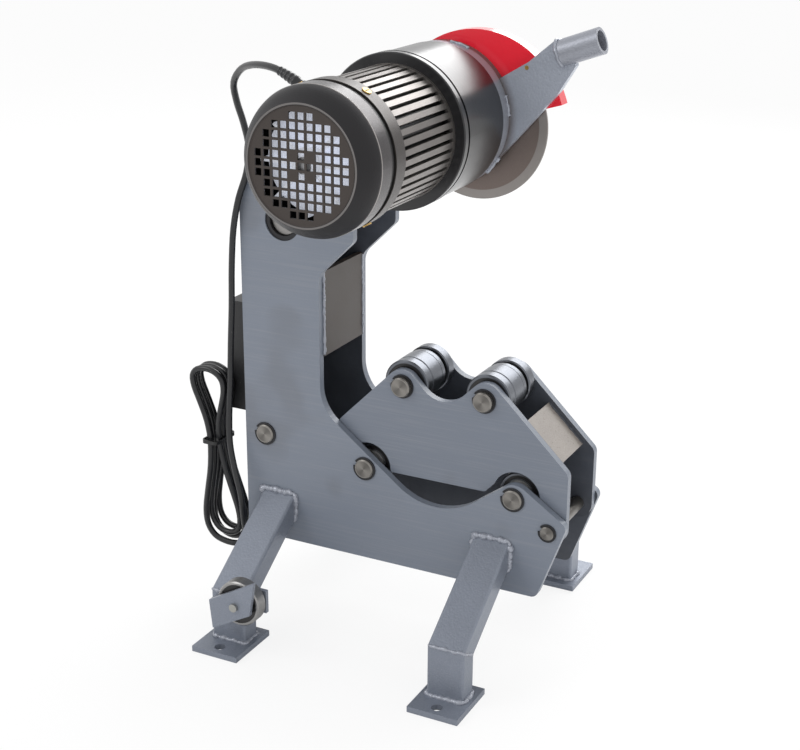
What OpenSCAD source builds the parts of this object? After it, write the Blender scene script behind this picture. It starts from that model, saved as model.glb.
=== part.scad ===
// Electric pipe cutter: a motor-driven blade on a swinging head above a four-roller pipe rest.
// X runs to the right, Y away from the operator, Z up. The origin is the centre of the four
// foot-bolt holes, on the floor.

/* [Frame] */
// Thickness of each frame side plate
side_plate_t = 8; // [7:0.5:9]
// Clear width between the two frame side plates
frame_gap = 80; // [80:0.5:84]
// Left edge of the column
column_left_x = -158.5; // [-160:0.5:-158]
// Right edge of the column's neck
neck_x = -70; // [-74:1:-66]
// Height of the plates' lower edge above the floor
plate_bottom_z = 76; // [70:1:82]
// Height of the column's top
head_top_z = 470.5; // [468:0.5:476]
// Thickness of the plate that closes the column's back
strip_t = 6; // [4:0.5:6]
// Thickness of the tie plates
tie_t = 6; // [4:0.5:8]

/* [Legs] */
// Width of a leg tube, along X
leg_w = 38; // [34:1:42]
// Depth of a leg tube
leg_t = 24; // [20:1:26]
// Wall of a leg tube
leg_wall = 2.5; // [1.5:0.25:2.75]
// Outer corner radius of a leg tube
leg_corner_r = 3; // [2.9:0.1:5]
// How far a leg reaches out from its side plate
leg_run = 103; // [98:1:108]
// Slope of a leg's upper part
leg_slope = 34.2; // [33:0.5:35.5]
// Height of the leg's upper face where it meets the side plate
leg_root_z = 129; // [127:1:133]
// Distance of each foot bolt from the centre, along X
foot_bolt_x = 120; // [117:1:123]
// Distance of each foot bolt from the centre, along Y
foot_bolt_y = 167; // [165:1:169]
// Diameter of the foot-bolt holes
foot_hole_d = 11; // [9:0.5:13]
// Width of a foot plate
foot_w = 52; // [46:1:56]
// Depth of a foot plate
foot_d = 62; // [60:1:70]
// Thickness of a foot plate
foot_t = 6; // [5:0.5:8]

/* [Rollers] */
// Diameter of the roller pins
pin_d = 20; // [19:0.25:20.5]
// Height of the lower roller pins
lower_roller_z = 174; // [173:0.5:176]
// Outer diameter of the lower rollers
lower_roller_d = 42; // [38:0.5:43]
// Height of the upper roller pins
upper_roller_z = 265; // [262:0.5:268]
// Outer diameter of the upper rollers
upper_roller_d = 47; // [44:0.5:48]
// Width of the gap that the blade drops into
blade_gap = 5; // [4:0.5:5.5]
// Outer diameter of the rollers' inner rings
inner_ring_d = 27; // [26:0.25:28]

/* [Carriage] */
// Thickness of each carriage plate
carriage_plate_t = 8; // [6:0.5:8.5]
// Diameter of the carriage's hinge pin
hinge_d = 14; // [12:0.5:15]
// Radius of the notches that clear the lower rollers
notch_r = 24.6; // [23.6:0.1:25]
// Outer radius of the ears that turn on the hinge pin
ear_r = 15.2; // [13:0.2:16]

/* [Head] */
// Diameter of the head's pivot shaft
pivot_d = 30; // [26:0.5:32]
// Outer diameter of the pivot hub
hub_d = 44; // [41:0.5:46]
// Diameter of the pivot bushes in the side plates
bush_d = 39; // [37:0.5:41]
// Thickness of the swing plate
swing_t = 8; // [7:0.5:8]
// Diameter of the collar that clamps the gear housing
collar_d = 136; // [130:1:138]
// Diameter of the handle tube
handle_d = 24.5; // [20:0.5:26]
// Length of the handle tube
handle_l = 32; // [26:1:60]

/* [Motor] */
// Diameter over the motor's cooling fins
fin_d = 120; // [116:1:124]
// Number of cooling fins
fin_count = 44; // [30:1:52]
// Diameter of the fan cover
cover_d = 126; // [125:1:132]
// Diameter of the flat grille
grille_d = 96; // [92:1:100]
// Distance from one grille hole to the next
grille_pitch = 8; // [7.5:0.1:8.5]
// Side of each square grille hole
grille_hole = 6; // [4:0.25:6.5]
// Diameter of the end shield's flange
flange_d = 140; // [138:1:146]
// Diameter of the gear housing
housing_d = 138; // [136:0.5:138]
// Wall of the gear housing
housing_wall = 5; // [3:0.5:5.5]

/* [Blade] */
// Diameter of the blade
blade_d = 140; // [130:1:142]
// Thickness of the blade
blade_t = 2; // [1.5:0.25:2.5]
// Outer diameter of the guard
guard_d = 176; // [172:1:182]
// Thickness of the guard's sheet
guard_sheet_t = 2; // [1:0.25:2]

/* [Switch box] */
// Height of the switch box
box_h = 118; // [112:1:122]
// Width of the switch box, along Y
box_w = 56; // [54:1:58]
// Depth of the switch box with its lid
box_depth = 29.5; // [28:0.5:30]
// Travel of the two buttons
button_travel = 2.5; // [1.5:0.25:3]
// Diameter of the two buttons
button_d = 18; // [14:0.5:19]

/* [Cords] */
// Diameter of both cords
cord_d = 6.5; // [5:0.25:6.75]
// Number of loops in the hank
hank_loops = 3; // [2:1:3]

/* [Hidden] */
$fn = 64;

// Clearances: pressed or clamped fit, running fit, loose gap, and the overrun of every cut
fit = 0.05;
run = 0.1;
loose = 0.5;
over = 1;
// Largest turn between two points of a rounded corner, and of one below the small radius
arc_step = 6;
small_arc_step = 18;
small_corner_r = 3.5;

// Frame, worked out
frame_in = frame_gap / 2;
frame_out = frame_in + side_plate_t;
pivot_x = -110;
pivot_z = 416;
pivot_at = [pivot_x, pivot_z];
head_round_r = 48.5;
corner_r = 8;
toe_x = 167.4;
nose_x = 196;
nose_z = 156.5;
crest_rise = 19;
crest_shift = 1.5;
crest_r = 16.5;
valley_x = 58;
valley_z = 131.7;
valley_r = 68;
heel_z = 230.2;
heel_r = 45;
throat_z = 367;
throat_r = 20;
shoulder_x = -31.7;
shoulder_z = 404.5;
brow_z = 428;
crown_x = -88;
crown_r = 25;
strip_end_x = -99;
tie_low_z = 282;
tie_high_z = 369;
tie_proud = 1;

// Pins through the frame, as X and Z
anchor_at = [-135, 190];
lower_roller_at = [[-20, lower_roller_z], [140, lower_roller_z]];
hinge_at = [176.6, 147];
pin_r = pin_d / 2;
hinge_r = hinge_d / 2;
pin_proud = 3;
pin_chamfer = 1;
clip_t = 1.2;
clip_depth = 0.8;
clip_rise = 2.2;
clip_mouth = 5;
anchor_seat_r = 14;
anchor_seat_half = 8;
anchor_stud_r = 8;
anchor_stud_h = 18;

// Rollers, worked out: the front stack's joints, from the front edge of the blade gap
gap_front_y = 12;
gap_back_y = gap_front_y + blade_gap;
lower_stack_half = 30.5;
spacer_r = 12;
shield_depth = 0.8;
shield_rim = 3;
ring_chamfer = 1.2;
upper_stack_half = 30.5;
upper_ring_ys = [-30, -18, 4];
upper_small_drop = 0.8;
rear_ring_w = 13;

// Carriage, worked out
carriage_play = 1;
carriage_out = frame_in - carriage_play;
carriage_in = carriage_out - carriage_plate_t;
upper_roller_at = [[17, upper_roller_z], [104, upper_roller_z]];
lobe_r = 17;
carriage_pin_proud = 6;
carriage_tip = [-54, 217];
carriage_tip_r = 4;
carriage_low_z = 172;
carriage_tie_from = [142.3, 246.8];
carriage_tie_to = [179.6, 210.4];

// Legs, worked out
leg_out_y = frame_out + leg_run;
leg_in_y = leg_out_y - leg_t;
foot_edge = 11;

// Transport wheels on the left legs
wheel_at = [-97.5, 59];
wheel_d = 47;
wheel_w = 14;
wheel_gap = 1;
wheel_bar_t = 4.5;
wheel_bar_gap = 2.5;
wheel_bolt_r = 2.8;
wheel_bolt_head_r = 4.2;
wheel_bolt_head_t = 3;
wheel_bar_corners = [[-29.3, 1.1], [22.9, 30.6], [17.2, -5.7], [-26.1, -29.3]];
rear_bar_w = 26;
rear_bar_h = 24;

// Head, worked out: the motor's axis and the two gear shafts, as X and Z
motor_at = [35.5, 524.5];
cluster_module = 1;
motor_teeth = 17;
wheel_teeth = 52;
output_module = 1.25;
cluster_teeth = 17;
output_teeth = 44;
cluster_bearing = 54;
output_bearing = -72.9;
cluster_at = motor_at + (motor_teeth + wheel_teeth) / 2 * cluster_module
    * [cos(cluster_bearing), sin(cluster_bearing)];
output_at = cluster_at + (cluster_teeth + output_teeth) / 2 * output_module
    * [cos(output_bearing), sin(output_bearing)];
pivot_r = pivot_d / 2;
hub_r = hub_d / 2;
bush_r = bush_d / 2;
hub_half = frame_in - loose;
bush_recess = 1.5;
pivot_end_out = 3;
pivot_end_y = frame_in + pivot_end_out;
swing_front_y = 2;
swing_back_y = swing_front_y + swing_t;
arm_half = 26;
arm_root_half = 46;
hub_disc_r = 29;
handle_corners = [[24.5, 17.5, 0], [85, 54.5, 12], [113.5, 78.5, 4], [130.7, 54.7, 3],
    [114.5, 28.5, 25], [50.4, -44.7, 0]];
handle_rise = 20;
handle_wall = 3;
handle_sink = 8;
lug_arm = 25;
lug_half = 8;
lug_front_y = -9;
lug_back_y = 1;
lug_drop = 9;
spring_y = (lug_front_y + lug_back_y) / 2;
spring_r = 9;
spring_wire = 3;
spring_turns = 16;

// Motor, worked out: stations along Y, from the grille to the collar
cover_front_y = -256;
shoulder_y = -236;
cover_back_y = -220;
cover_t = 1.5;
rear_shield_y = -212;
shell_front_y = -196;
flange_front_y = -97;
housing_front_y = -80;
housing_back_y = -12;
spigot_l = 14;
spigot_play = 0.1;
shell_bore_r = 46;
shell_body_r = 52;
fin_t = 5.2;
shell_ring_w = 3;
flange_groove_w = 3;
flange_groove_depth = 4;
flange_web = 7;
stator_bore_r = 28;
stator_ys = [-180, -110];
rotor_core_r = 27.4;
rotor_core_ys = [-178, -112];
rotor_shaft_r = 8;
fan_shaft_r = 7;
motor_bearing_r = 17.5;
motor_bearing_w = 10;
small_bearing_r = 10.8;
small_bearing_w = 8;
spindle_bearing_r = 17;
spindle_boss_r = 21;
spindle_boss_y = -34;
housing_web = 8;
boss_wall = 3;
seat_web = 4;
pinion_ys = [-76, -60];
wheel_ys = [-74, -62];
cluster_pinion_ys = [-62, -38];
output_gear_ys = [-58, -42];
cluster_shaft_r = 5;
spindle_nose_r = 7;
spindle_gear_r = 9;
spindle_r = 10;
fan_hub_r = 14;
fan_r = 44;
fan_ys = [-247, -230];
fan_disc_t = 2.5;
fan_blade_t = 2.5;
fan_blades = 8;
fan_nut_r = 9;
fan_nut_t = 4;
collar_bore_r = 52;
screw_r = 4;
screw_sink = 1;
shield_hub_rise = 2.5;
screw_bearings = [60, 120, 240, 300];
gland_bearing = 141;
gland_y = -160;
gland_r = 8;
gland_l = 12;
gland_foot = 4;
gland_neck_share = 0.8;

// Blade, worked out
blade_y = 14;
blade_bore_r = 11;
blade_rim_w = 8.5;
blade_rim_step = 0.25;
flange_disc_r = 22;
guard_front_y = swing_back_y;
guard_back_y = 24;
guard_tilt = 17;
guard_mouth_r = 26;
spindle_thread_r = 8;
nut_r = 12;
nut_t = 7;
washer_t = 2;
spindle_end_y = 28;

// Switch box, worked out
box_low_z = 202;
box_wall = 2.5;
lid_t = 3;
box_left_x = column_left_x - box_depth;
lid_right_x = box_left_x + lid_t;
button_drop = 18;
button_z = box_low_z + box_h - button_drop;
button_ys = [-12, 12];
button_proud = 3;
button_flange = 2;
button_stem_r = 3;
contact_w = 40;
contact_h = 30;
contact_t = 8;
lid_screw_inset = 5;
lid_screw_r = 3;
lid_screw_h = 1.5;
box_gland_x = -173;
supply_gland_y = -12;
lead_gland_y = 12;

// The hank: its tie's place, its halves above and below it, and how each loop differs
hank_tie_at = [-197, -55, 172];
hank_up = 80;
hank_down = 112;
hank_lean = -0.11;
hank_waist = 4.2;
hank_spread = 46;
hank_step = 7;
hank_layer = 7.4;
hank_rings = 24;
hank_end_turn = 90;
climb_from = 45;
climb_turn = 90;
tie_wall = 1.2;
tie_h = 4;
plug_at = [-188, 38, 186];
plug_w = 30;
plug_d = 18;
plug_h = 34;
plug_collar_r = 5.5;
plug_collar_h = 12;
plug_prong_r = 2.4;
plug_prong_l = 19;
plug_prong_gap = 19;
cord_sides = 10;

// Shared shapes
function unit(v) = v / norm(v);
function flat(p) = [p[0], p[1]];
function bend(before, corner, after) =
    let (
        r = corner[2],
        u = unit(flat(before) - flat(corner)),
        v = unit(flat(after) - flat(corner)),
        half = acos(u * v) / 2,
        middle = flat(corner) + unit(u + v) * r / sin(half),
        start = flat(corner) + u * r / tan(half) - middle,
        finish = flat(corner) + v * r / tan(half) - middle,
        a0 = atan2(start[1], start[0]),
        turn = (atan2(finish[1], finish[0]) - a0 + 540) % 360 - 180,
        steps = max(2, ceil(abs(turn) / (r < small_corner_r ? small_arc_step : arc_step)))
    )
    [for (i = [0:steps]) middle + r * [cos(a0 + turn * i / steps), sin(a0 + turn * i / steps)]];
// An outline through corners given as [x, z, radius]
function rounded(corners) =
    let (n = len(corners))
    [for (i = [0:n - 1])
        each corners[i][2] == 0 ? [flat(corners[i])]
            : bend(corners[(i + n - 1) % n], corners[i], corners[(i + 1) % n])];
function box_corners(w, d, r) =
    [[-w / 2, -d / 2, r], [w / 2, -d / 2, r], [w / 2, d / 2, r], [-w / 2, d / 2, r]];

// A flat shape drawn in X and Z, from one Y to another
module plate_y(from, to) {
    translate([0, to, 0]) rotate([90, 0, 0]) linear_extrude(to - from) children();
}

// A shape drawn as radius and Y, turned about an axis along Y
module turned(at) {
    translate([at[0], 0, at[1]]) rotate([-90, 0, 0]) rotate_extrude() children();
}

module disc_y(at, r, from, to) {
    plate_y(from, to) translate(at) circle(r);
}

module ring_y(at, inner, outer, from, to) {
    plate_y(from, to) translate(at) difference() {
        circle(outer);
        circle(inner);
    }
}

// A pin along Y with chamfered ends and a groove for a clip just outside each face
module grooved_pin(at, r, half, face) {
    near = face + fit;
    far = near + clip_t + 2 * fit;
    deep = r - clip_depth;
    small = r - pin_chamfer;
    turned(at) polygon([
        [0, -half], [small, -half], [r, -half + pin_chamfer], [r, -far], [deep, -far],
        [deep, -near], [r, -near], [r, near], [deep, near], [deep, far], [r, far],
        [r, half - pin_chamfer], [small, half], [0, half]
    ]);
}

// Open spring clips in both grooves of a pin
module clip_pair(at, r, face) {
    for (side = [-1, 1]) {
        outer = side * (face + 2 * fit + clip_t);
        inner = side * (face + 2 * fit);
        plate_y(min(inner, outer), max(inner, outer)) translate(at) difference() {
            circle(r + clip_rise);
            circle(r - clip_depth + fit);
            rotate(160) translate([0, -clip_mouth / 2]) square([2 * r + clip_rise, clip_mouth]);
        }
    }
}

// Straight-sided gear teeth, thinned for backlash, with one tooth at the angle given
root_share = 1.25;
tip_share = 0.95;
root_half_share = 0.34;
tip_half_share = 0.12;
function gear_outline(teeth, m, lead) =
    let (
        pitch_r = teeth * m / 2,
        root = pitch_r - root_share * m,
        tip = pitch_r + tip_share * m,
        tooth = 360 / teeth,
        corners = [[root, -root_half_share], [tip, -tip_half_share], [tip, tip_half_share],
            [root, root_half_share]]
    )
    [for (i = [0:teeth - 1], corner = corners)
        corner[0] * [cos(lead + (i + corner[1]) * tooth), sin(lead + (i + corner[1]) * tooth)]];

module gear_y(at, teeth, m, lead, ys) {
    plate_y(ys[0], ys[1]) translate(at) polygon(gear_outline(teeth, m, lead));
}

// A round tube swept along points, its rings carried along without twist
function carried(normal, along) = unit(normal - (normal * along) * along);
function headings(path) =
    let (n = len(path))
    [for (i = [0:n - 1]) unit(path[min(i + 1, n - 1)] - path[max(i - 1, 0)])];
function sweep_normals(ways, first) =
    [for (i = 0, normal = carried(first, ways[0]); i < len(ways);
        i = i + 1, normal = i < len(ways) ? carried(normal, ways[i]) : normal) normal];

module swept(path, r, sides, first) {
    ways = headings(path);
    normals = sweep_normals(ways, first);
    n = len(path);
    last = (n - 1) * sides;
    points = [for (i = [0:n - 1], s = [0:sides - 1])
        path[i] + r * (cos(360 * s / sides) * normals[i]
            + sin(360 * s / sides) * cross(ways[i], normals[i]))];
    sides_faces = [for (i = [0:n - 2], s = [0:sides - 1])
        let (a = i * sides + s, b = i * sides + (s + 1) % sides)
        each [[a, a + sides, b + sides], [a, b + sides, b]]];
    near_cap = [for (s = [1:sides - 2]) [0, s, s + 1]];
    far_cap = [for (s = [1:sides - 2]) [last, last + s + 1, last + s]];
    polyhedron(points, concat(sides_faces, near_cap, far_cap));
}

// A smooth curve through hand-chosen points, a few steps to each span
function through(points, steps) =
    let (n = len(points))
    [for (i = [0:n - 2], k = [0:i == n - 2 ? steps : steps - 1])
        let (
            t = k / steps,
            p0 = points[max(i - 1, 0)],
            p1 = points[i],
            p2 = points[i + 1],
            p3 = points[min(i + 2, n - 1)]
        )
        (2 * p1 + (p2 - p0) * t + (2 * p0 - 5 * p1 + 4 * p2 - p3) * t ^ 2
            + (3 * p1 - p0 - 3 * p2 + p3) * t ^ 3) / 2];

// Frame
side_plate_corners = [
    [column_left_x, plate_bottom_z, corner_r],
    [toe_x, plate_bottom_z, corner_r],
    [nose_x, nose_z, corner_r],
    [lower_roller_at[1][0] + crest_shift, lower_roller_z + crest_rise, crest_r],
    [valley_x, valley_z, valley_r],
    [neck_x, heel_z, heel_r],
    [neck_x, throat_z, throat_r],
    [shoulder_x, shoulder_z, corner_r],
    [shoulder_x, brow_z, corner_r],
    [crown_x, head_top_z, crown_r],
    [column_left_x, head_top_z, head_round_r]
];

module side_plate_shape() {
    difference() {
        polygon(rounded(side_plate_corners));
        for (at = concat([anchor_at], lower_roller_at)) translate(at) circle(pin_r + fit);
        translate(hinge_at) circle(hinge_r + fit);
        translate(pivot_at) circle(bush_r + fit);
    }
}

module front_side_plate() {
    color("slategray") plate_y(-frame_out, -frame_in) side_plate_shape();
}

module rear_side_plate() {
    color("slategray") plate_y(frame_in, frame_out) side_plate_shape();
}

module column_back_strip() {
    inner_x = column_left_x + strip_t;
    inner_z = head_top_z - strip_t;
    color("slategray") plate_y(-frame_in, frame_in) polygon(rounded([
        [column_left_x, plate_bottom_z + corner_r, 0],
        [column_left_x, head_top_z, head_round_r],
        [strip_end_x, head_top_z, 0],
        [strip_end_x, inner_z, 0],
        [inner_x, inner_z, head_round_r - strip_t],
        [inner_x, plate_bottom_z + corner_r, 0]
    ]));
}

module column_tie_plate() {
    color("dimgray") translate([neck_x + tie_proud - tie_t, -frame_in, tie_low_z])
        cube([tie_t, frame_gap, tie_high_z - tie_low_z]);
}

// A leg is a bent rectangular tube: the outline of its bend, and a tube along each of its runs
function leg_top(y, inset) = leg_root_z - inset / cos(leg_slope) - (y - frame_out) * tan(leg_slope);
function leg_low(y, inset) = leg_top(y, inset) - (leg_t - 2 * inset) / cos(leg_slope);

// One straight run of a leg, cut at the bend's mitre: the root run or the standing run
module leg_cut(points) {
    rotate([90, 0, 90]) translate([0, 0, -leg_w]) linear_extrude(2 * leg_w) polygon(points);
}

module leg_solid(inset, ends) {
    w = leg_w - 2 * inset;
    d = leg_t - 2 * inset;
    r = leg_corner_r - inset;
    root_y = frame_out - ends;
    foot_z = foot_t - ends;
    outer = [-leg_out_y, leg_top(leg_out_y, 0)];
    inner = [-leg_in_y, leg_low(leg_in_y, 0)];
    mitre = outer - inner;
    intersection() {
        translate([0, -frame_out, leg_root_z]) rotate([90 + leg_slope, 0, 0])
            translate([0, -leg_t / 2, -leg_t]) linear_extrude(2 * leg_run)
            polygon(rounded(box_corners(w, d, r)));
        leg_cut([
            [-root_y, inner[1] - leg_t], inner - mitre, outer + mitre, [-root_y, outer[1] + 2 * leg_run]
        ]);
    }
    intersection() {
        translate([0, leg_t / 2 - leg_out_y, foot_z]) linear_extrude(leg_root_z)
            polygon(rounded(box_corners(w, d, r)));
        leg_cut([
            [inner[0] + leg_t, foot_z - leg_t], inner - mitre, outer + mitre,
            [outer[0] - leg_t, foot_z - leg_t]
        ]);
    }
}

module legs() {
    color("silver") for (side = [-1, 1], flip = [0, 1]) mirror([0, flip, 0])
        translate([side * foot_bolt_x, 0, 0]) difference() {
            leg_solid(0, 0);
            leg_solid(leg_wall, over);
        }
}

module foot_plates() {
    color("silver") for (side_x = [-1, 1], flip = [0, 1]) mirror([0, flip, 0])
        translate([side_x * foot_bolt_x, -foot_bolt_y, 0]) difference() {
            translate([-foot_w / 2, -foot_edge, 0]) cube([foot_w, foot_d, foot_t]);
            translate([0, 0, -over]) cylinder(foot_t + 2 * over, d = foot_hole_d);
        }
}

module spring_anchor_shaft() {
    color("gainsboro") {
        grooved_pin(anchor_at, pin_r, frame_out + pin_proud, frame_out);
        disc_y(anchor_at, anchor_seat_r, spring_y - anchor_seat_half, spring_y + anchor_seat_half);
        translate([anchor_at[0], spring_y, anchor_at[1]]) cylinder(anchor_stud_h, r = anchor_stud_r);
    }
}

module frame_shafts() {
    color("gainsboro") {
        for (at = lower_roller_at) grooved_pin(at, pin_r, frame_out + pin_proud, frame_out);
        grooved_pin(hinge_at, hinge_r, frame_out + pin_proud, frame_out);
    }
}

module frame_clips() {
    color("dimgray") {
        for (at = concat([anchor_at], lower_roller_at)) clip_pair(at, pin_r, frame_out);
        clip_pair(hinge_at, hinge_r, frame_out);
    }
}

// Inner rings and spacers fill a roller pin from plate to plate
module inner_rings(ats, half, reach) {
    for (at = ats) turned(at) difference() {
        union() {
            translate([0, -reach]) square([spacer_r, 2 * reach]);
            translate([0, -half]) square([inner_ring_d / 2, half + gap_front_y]);
            translate([0, gap_back_y]) square([inner_ring_d / 2, half - gap_back_y]);
        }
        translate([-over, -reach - over]) square([pin_r + fit + over, 2 * (reach + over)]);
    }
}

module lower_inner_rings() {
    color("lightgray") inner_rings(lower_roller_at, lower_stack_half, frame_in);
}

module upper_inner_rings() {
    color("lightgray") inner_rings(upper_roller_at, upper_stack_half, carriage_in);
}

// One roller ring: its faces are sunk between the rim and the bore, as a bearing's shield is
module roller_ring(at, r, from, to) {
    bore = inner_ring_d / 2 + run;
    turned(at) polygon([
        [bore, from + shield_depth], [r - shield_rim, from + shield_depth], [r - shield_rim, from],
        [r - ring_chamfer, from], [r, from + ring_chamfer], [r, to - ring_chamfer],
        [r - ring_chamfer, to], [r - shield_rim, to], [r - shield_rim, to - shield_depth],
        [bore, to - shield_depth]
    ]);
}

module lower_roller(at) {
    r = lower_roller_d / 2;
    front_w = (lower_stack_half + gap_front_y) / 4;
    rear_w = (lower_stack_half - gap_back_y) / 2;
    color("gainsboro") {
        for (i = [0:3])
            roller_ring(at, r, i * front_w - lower_stack_half, (i + 1) * front_w - lower_stack_half);
        for (i = [0:1]) roller_ring(at, r, gap_back_y + i * rear_w, gap_back_y + (i + 1) * rear_w);
    }
}

module lower_left_roller() {
    lower_roller(lower_roller_at[0]);
}

module lower_right_roller() {
    lower_roller(lower_roller_at[1]);
}

module upper_roller(at) {
    r = upper_roller_d / 2;
    color("gainsboro") {
        for (i = [0:1]) roller_ring(at, r, upper_ring_ys[i], upper_ring_ys[i + 1]);
        roller_ring(at, r - upper_small_drop, upper_ring_ys[2], gap_front_y);
        roller_ring(at, r, gap_back_y, gap_back_y + rear_ring_w);
    }
}

module upper_left_roller() {
    upper_roller(upper_roller_at[0]);
}

module upper_right_roller() {
    upper_roller(upper_roller_at[1]);
}

// Transport wheels: each hangs between a tilted front bar and a bar welded to the leg
wheel_back_y = leg_out_y + wheel_gap;
wheel_front_y = wheel_back_y + wheel_w;
bar_back_y = wheel_front_y + wheel_bar_gap;
bar_front_y = bar_back_y + wheel_bar_t;
rear_bar_y = leg_out_y - loose;

module wheel_bracket() {
    difference() {
        union() {
            plate_y(-bar_front_y, -bar_back_y)
                polygon([for (corner = wheel_bar_corners) wheel_at + corner]);
            plate_y(-bar_back_y, -leg_out_y) polygon([
                wheel_at + wheel_bar_corners[0],
                wheel_at + wheel_bar_corners[0] + [wheel_bar_t, 0],
                wheel_at + wheel_bar_corners[3] + [wheel_bar_t, 0],
                wheel_at + wheel_bar_corners[3]
            ]);
        }
        disc_y(wheel_at, wheel_bolt_r + fit, -bar_front_y - over, -bar_back_y + over);
        disc_y(wheel_at, wheel_d / 2 + 2 * loose, -bar_back_y, -leg_out_y + over);
    }
    difference() {
        translate([leg_w / 2 - foot_bolt_x + fit, -rear_bar_y, wheel_at[1] - rear_bar_h / 2])
            cube([rear_bar_w, wheel_bar_t, rear_bar_h]);
        disc_y(wheel_at, wheel_bolt_r + fit, -leg_out_y, -leg_in_y);
    }
}

module wheel_brackets() {
    color("lightgray") for (flip = [0, 1]) mirror([0, flip, 0]) wheel_bracket();
}

module wheel_axle_bolts() {
    inner_y = rear_bar_y - wheel_bar_t;
    color("gray") for (flip = [0, 1]) mirror([0, flip, 0]) {
        disc_y(wheel_at, wheel_bolt_r, -bar_front_y, -inner_y + wheel_bolt_head_t);
        disc_y(wheel_at, wheel_bolt_head_r, -bar_front_y - wheel_bolt_head_t, -bar_front_y);
        disc_y(wheel_at, inner_ring_d / 2, -bar_back_y, -leg_out_y - fit);
    }
}

module transport_wheel() {
    roller_ring(wheel_at, wheel_d / 2, -wheel_front_y, -wheel_back_y);
}

module front_transport_wheel() {
    color("gainsboro") transport_wheel();
}

module rear_transport_wheel() {
    color("gainsboro") mirror([0, 1, 0]) transport_wheel();
}

module head_pivot_shaft() {
    color("gainsboro") turned(pivot_at) polygon([
        [0, -pivot_end_y], [pivot_r - pin_chamfer, -pivot_end_y],
        [pivot_r, -pivot_end_y + pin_chamfer], [pivot_r, pivot_end_y - pin_chamfer],
        [pivot_r - pin_chamfer, pivot_end_y], [0, pivot_end_y]
    ]);
}

module pivot_bushes() {
    color("dimgray") for (flip = [0, 1]) mirror([0, flip, 0])
        ring_y(pivot_at, pivot_r + fit, bush_r, -frame_out + bush_recess, -frame_in);
}

// Switch box on the column's back, with its lid to the left
module switch_box() {
    color("black") difference() {
        translate([lid_right_x, -box_w / 2, box_low_z])
            cube([box_depth - lid_t, box_w, box_h]);
        translate([lid_right_x - over, box_wall - box_w / 2, box_low_z + box_wall])
            cube([box_depth - lid_t - box_wall + over, box_w - 2 * box_wall, box_h - 2 * box_wall]);
        for (y = [supply_gland_y, lead_gland_y]) translate([box_gland_x, y, box_low_z - over])
            cylinder(box_wall + 2 * over, r = cord_d / 2 + fit);
    }
}

module at_lid_screws() {
    for (y = [-1, 1], z = [0, 1]) translate([box_left_x, y * (box_w / 2 - lid_screw_inset),
        box_low_z + lid_screw_inset + z * (box_h - 2 * lid_screw_inset)]) rotate([0, 90, 0]) children();
}

module switch_box_lid() {
    color("black") difference() {
        translate([box_left_x, -box_w / 2, box_low_z]) cube([lid_t, box_w, box_h]);
        for (y = button_ys) translate([box_left_x - over, y, button_z]) rotate([0, 90, 0])
            cylinder(lid_t + 2 * over, r = button_d / 2 + run);
    }
}

module switch_lid_screws() {
    color("silver") at_lid_screws() translate([0, 0, -lid_screw_h])
        cylinder(lid_screw_h, r = lid_screw_r);
}

contact_front_x = column_left_x - box_wall - contact_t;

module contact_block() {
    color("beige") translate([contact_front_x, -contact_w / 2, button_z - contact_h / 2])
        cube([contact_t, contact_w, contact_h]);
}

module button(y) {
    stem_end_x = contact_front_x - button_travel - loose;
    translate([0, y, button_z]) rotate([0, 90, 0]) {
        translate([0, 0, box_left_x - button_proud])
            cylinder(button_proud + lid_t + button_flange, d = button_d);
        translate([0, 0, lid_right_x]) cylinder(button_flange, r = button_d / 2 + button_flange / 2);
        translate([0, 0, lid_right_x]) cylinder(stem_end_x - lid_right_x, r = button_stem_r);
    }
}

module start_button() {
    color("green") button(button_ys[0]);
}

module stop_button() {
    color("red") button(button_ys[1]);
}

module cable_glands() {
    color("black") for (y = [supply_gland_y, lead_gland_y])
        translate([box_gland_x, y, box_low_z - gland_l]) difference() {
            union() {
                cylinder(gland_l, r = gland_r * gland_neck_share);
                translate([0, 0, gland_l - gland_foot]) cylinder(gland_foot, r = gland_r);
            }
            translate([0, 0, gland_foot]) cylinder(gland_l, r = cord_d / 2 + fit);
        }
}

// Cords. Each route is a list of points chosen by hand; each stretch ends square to what it meets
gland_low_z = box_low_z - gland_l;
supply_route = [
    [-173, -12, gland_low_z], [-173, -12, 178], [-173, -12, 165], [-172.6, -12, 153],
    [-172, -12, 141], [-170.9, -12.2, 128], [-169.4, -12.8, 116], [-167.6, -14, 104],
    [-165.2, -16.4, 93], [-162.6, -20.5, 82], [-160, -28, 72], [-159.5, -37.5, 65],
    [-163.5, -46.6, 60.3], [-172.6, -53, 59], hank_point(0)
];
function lead_start(out) =
    let (r = fin_d / 2 + run + gland_l + out)
    [motor_at[0] + r * cos(gland_bearing), gland_y, motor_at[1] + r * sin(gland_bearing)];
lead_route = [
    lead_start(0), lead_start(cord_d), [-50, -151, 581], [-80, -134, 580], [-108, -114, 572],
    [-127, -99, 556], [-133, -86, 536], [-134, -74, 514], [-138, -60, 488], [-146, -53, 461],
    [-156, -53, 434], [-163, -53, 403], [-167, -52, 365], [-170, -50, 323], [-174, -48, 280],
    [-176, -48, 240], [-176, -52, 205], [-171, -60, 176], [-162, -66, 150], [-155, -67, 122],
    [-153.5, -66, 98], [-154, -61, 76], [-158, -51, 54], [-165, -35, 44], [-171, -18, 48],
    [-175, -3, 68], [-175.5, 8, 96], [-174, 12, 126], [-173, 12, 156], [-173, 12, 182],
    [-173, 12, gland_low_z]
];
hank_end = 360 * hank_loops + hank_end_turn;
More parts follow.
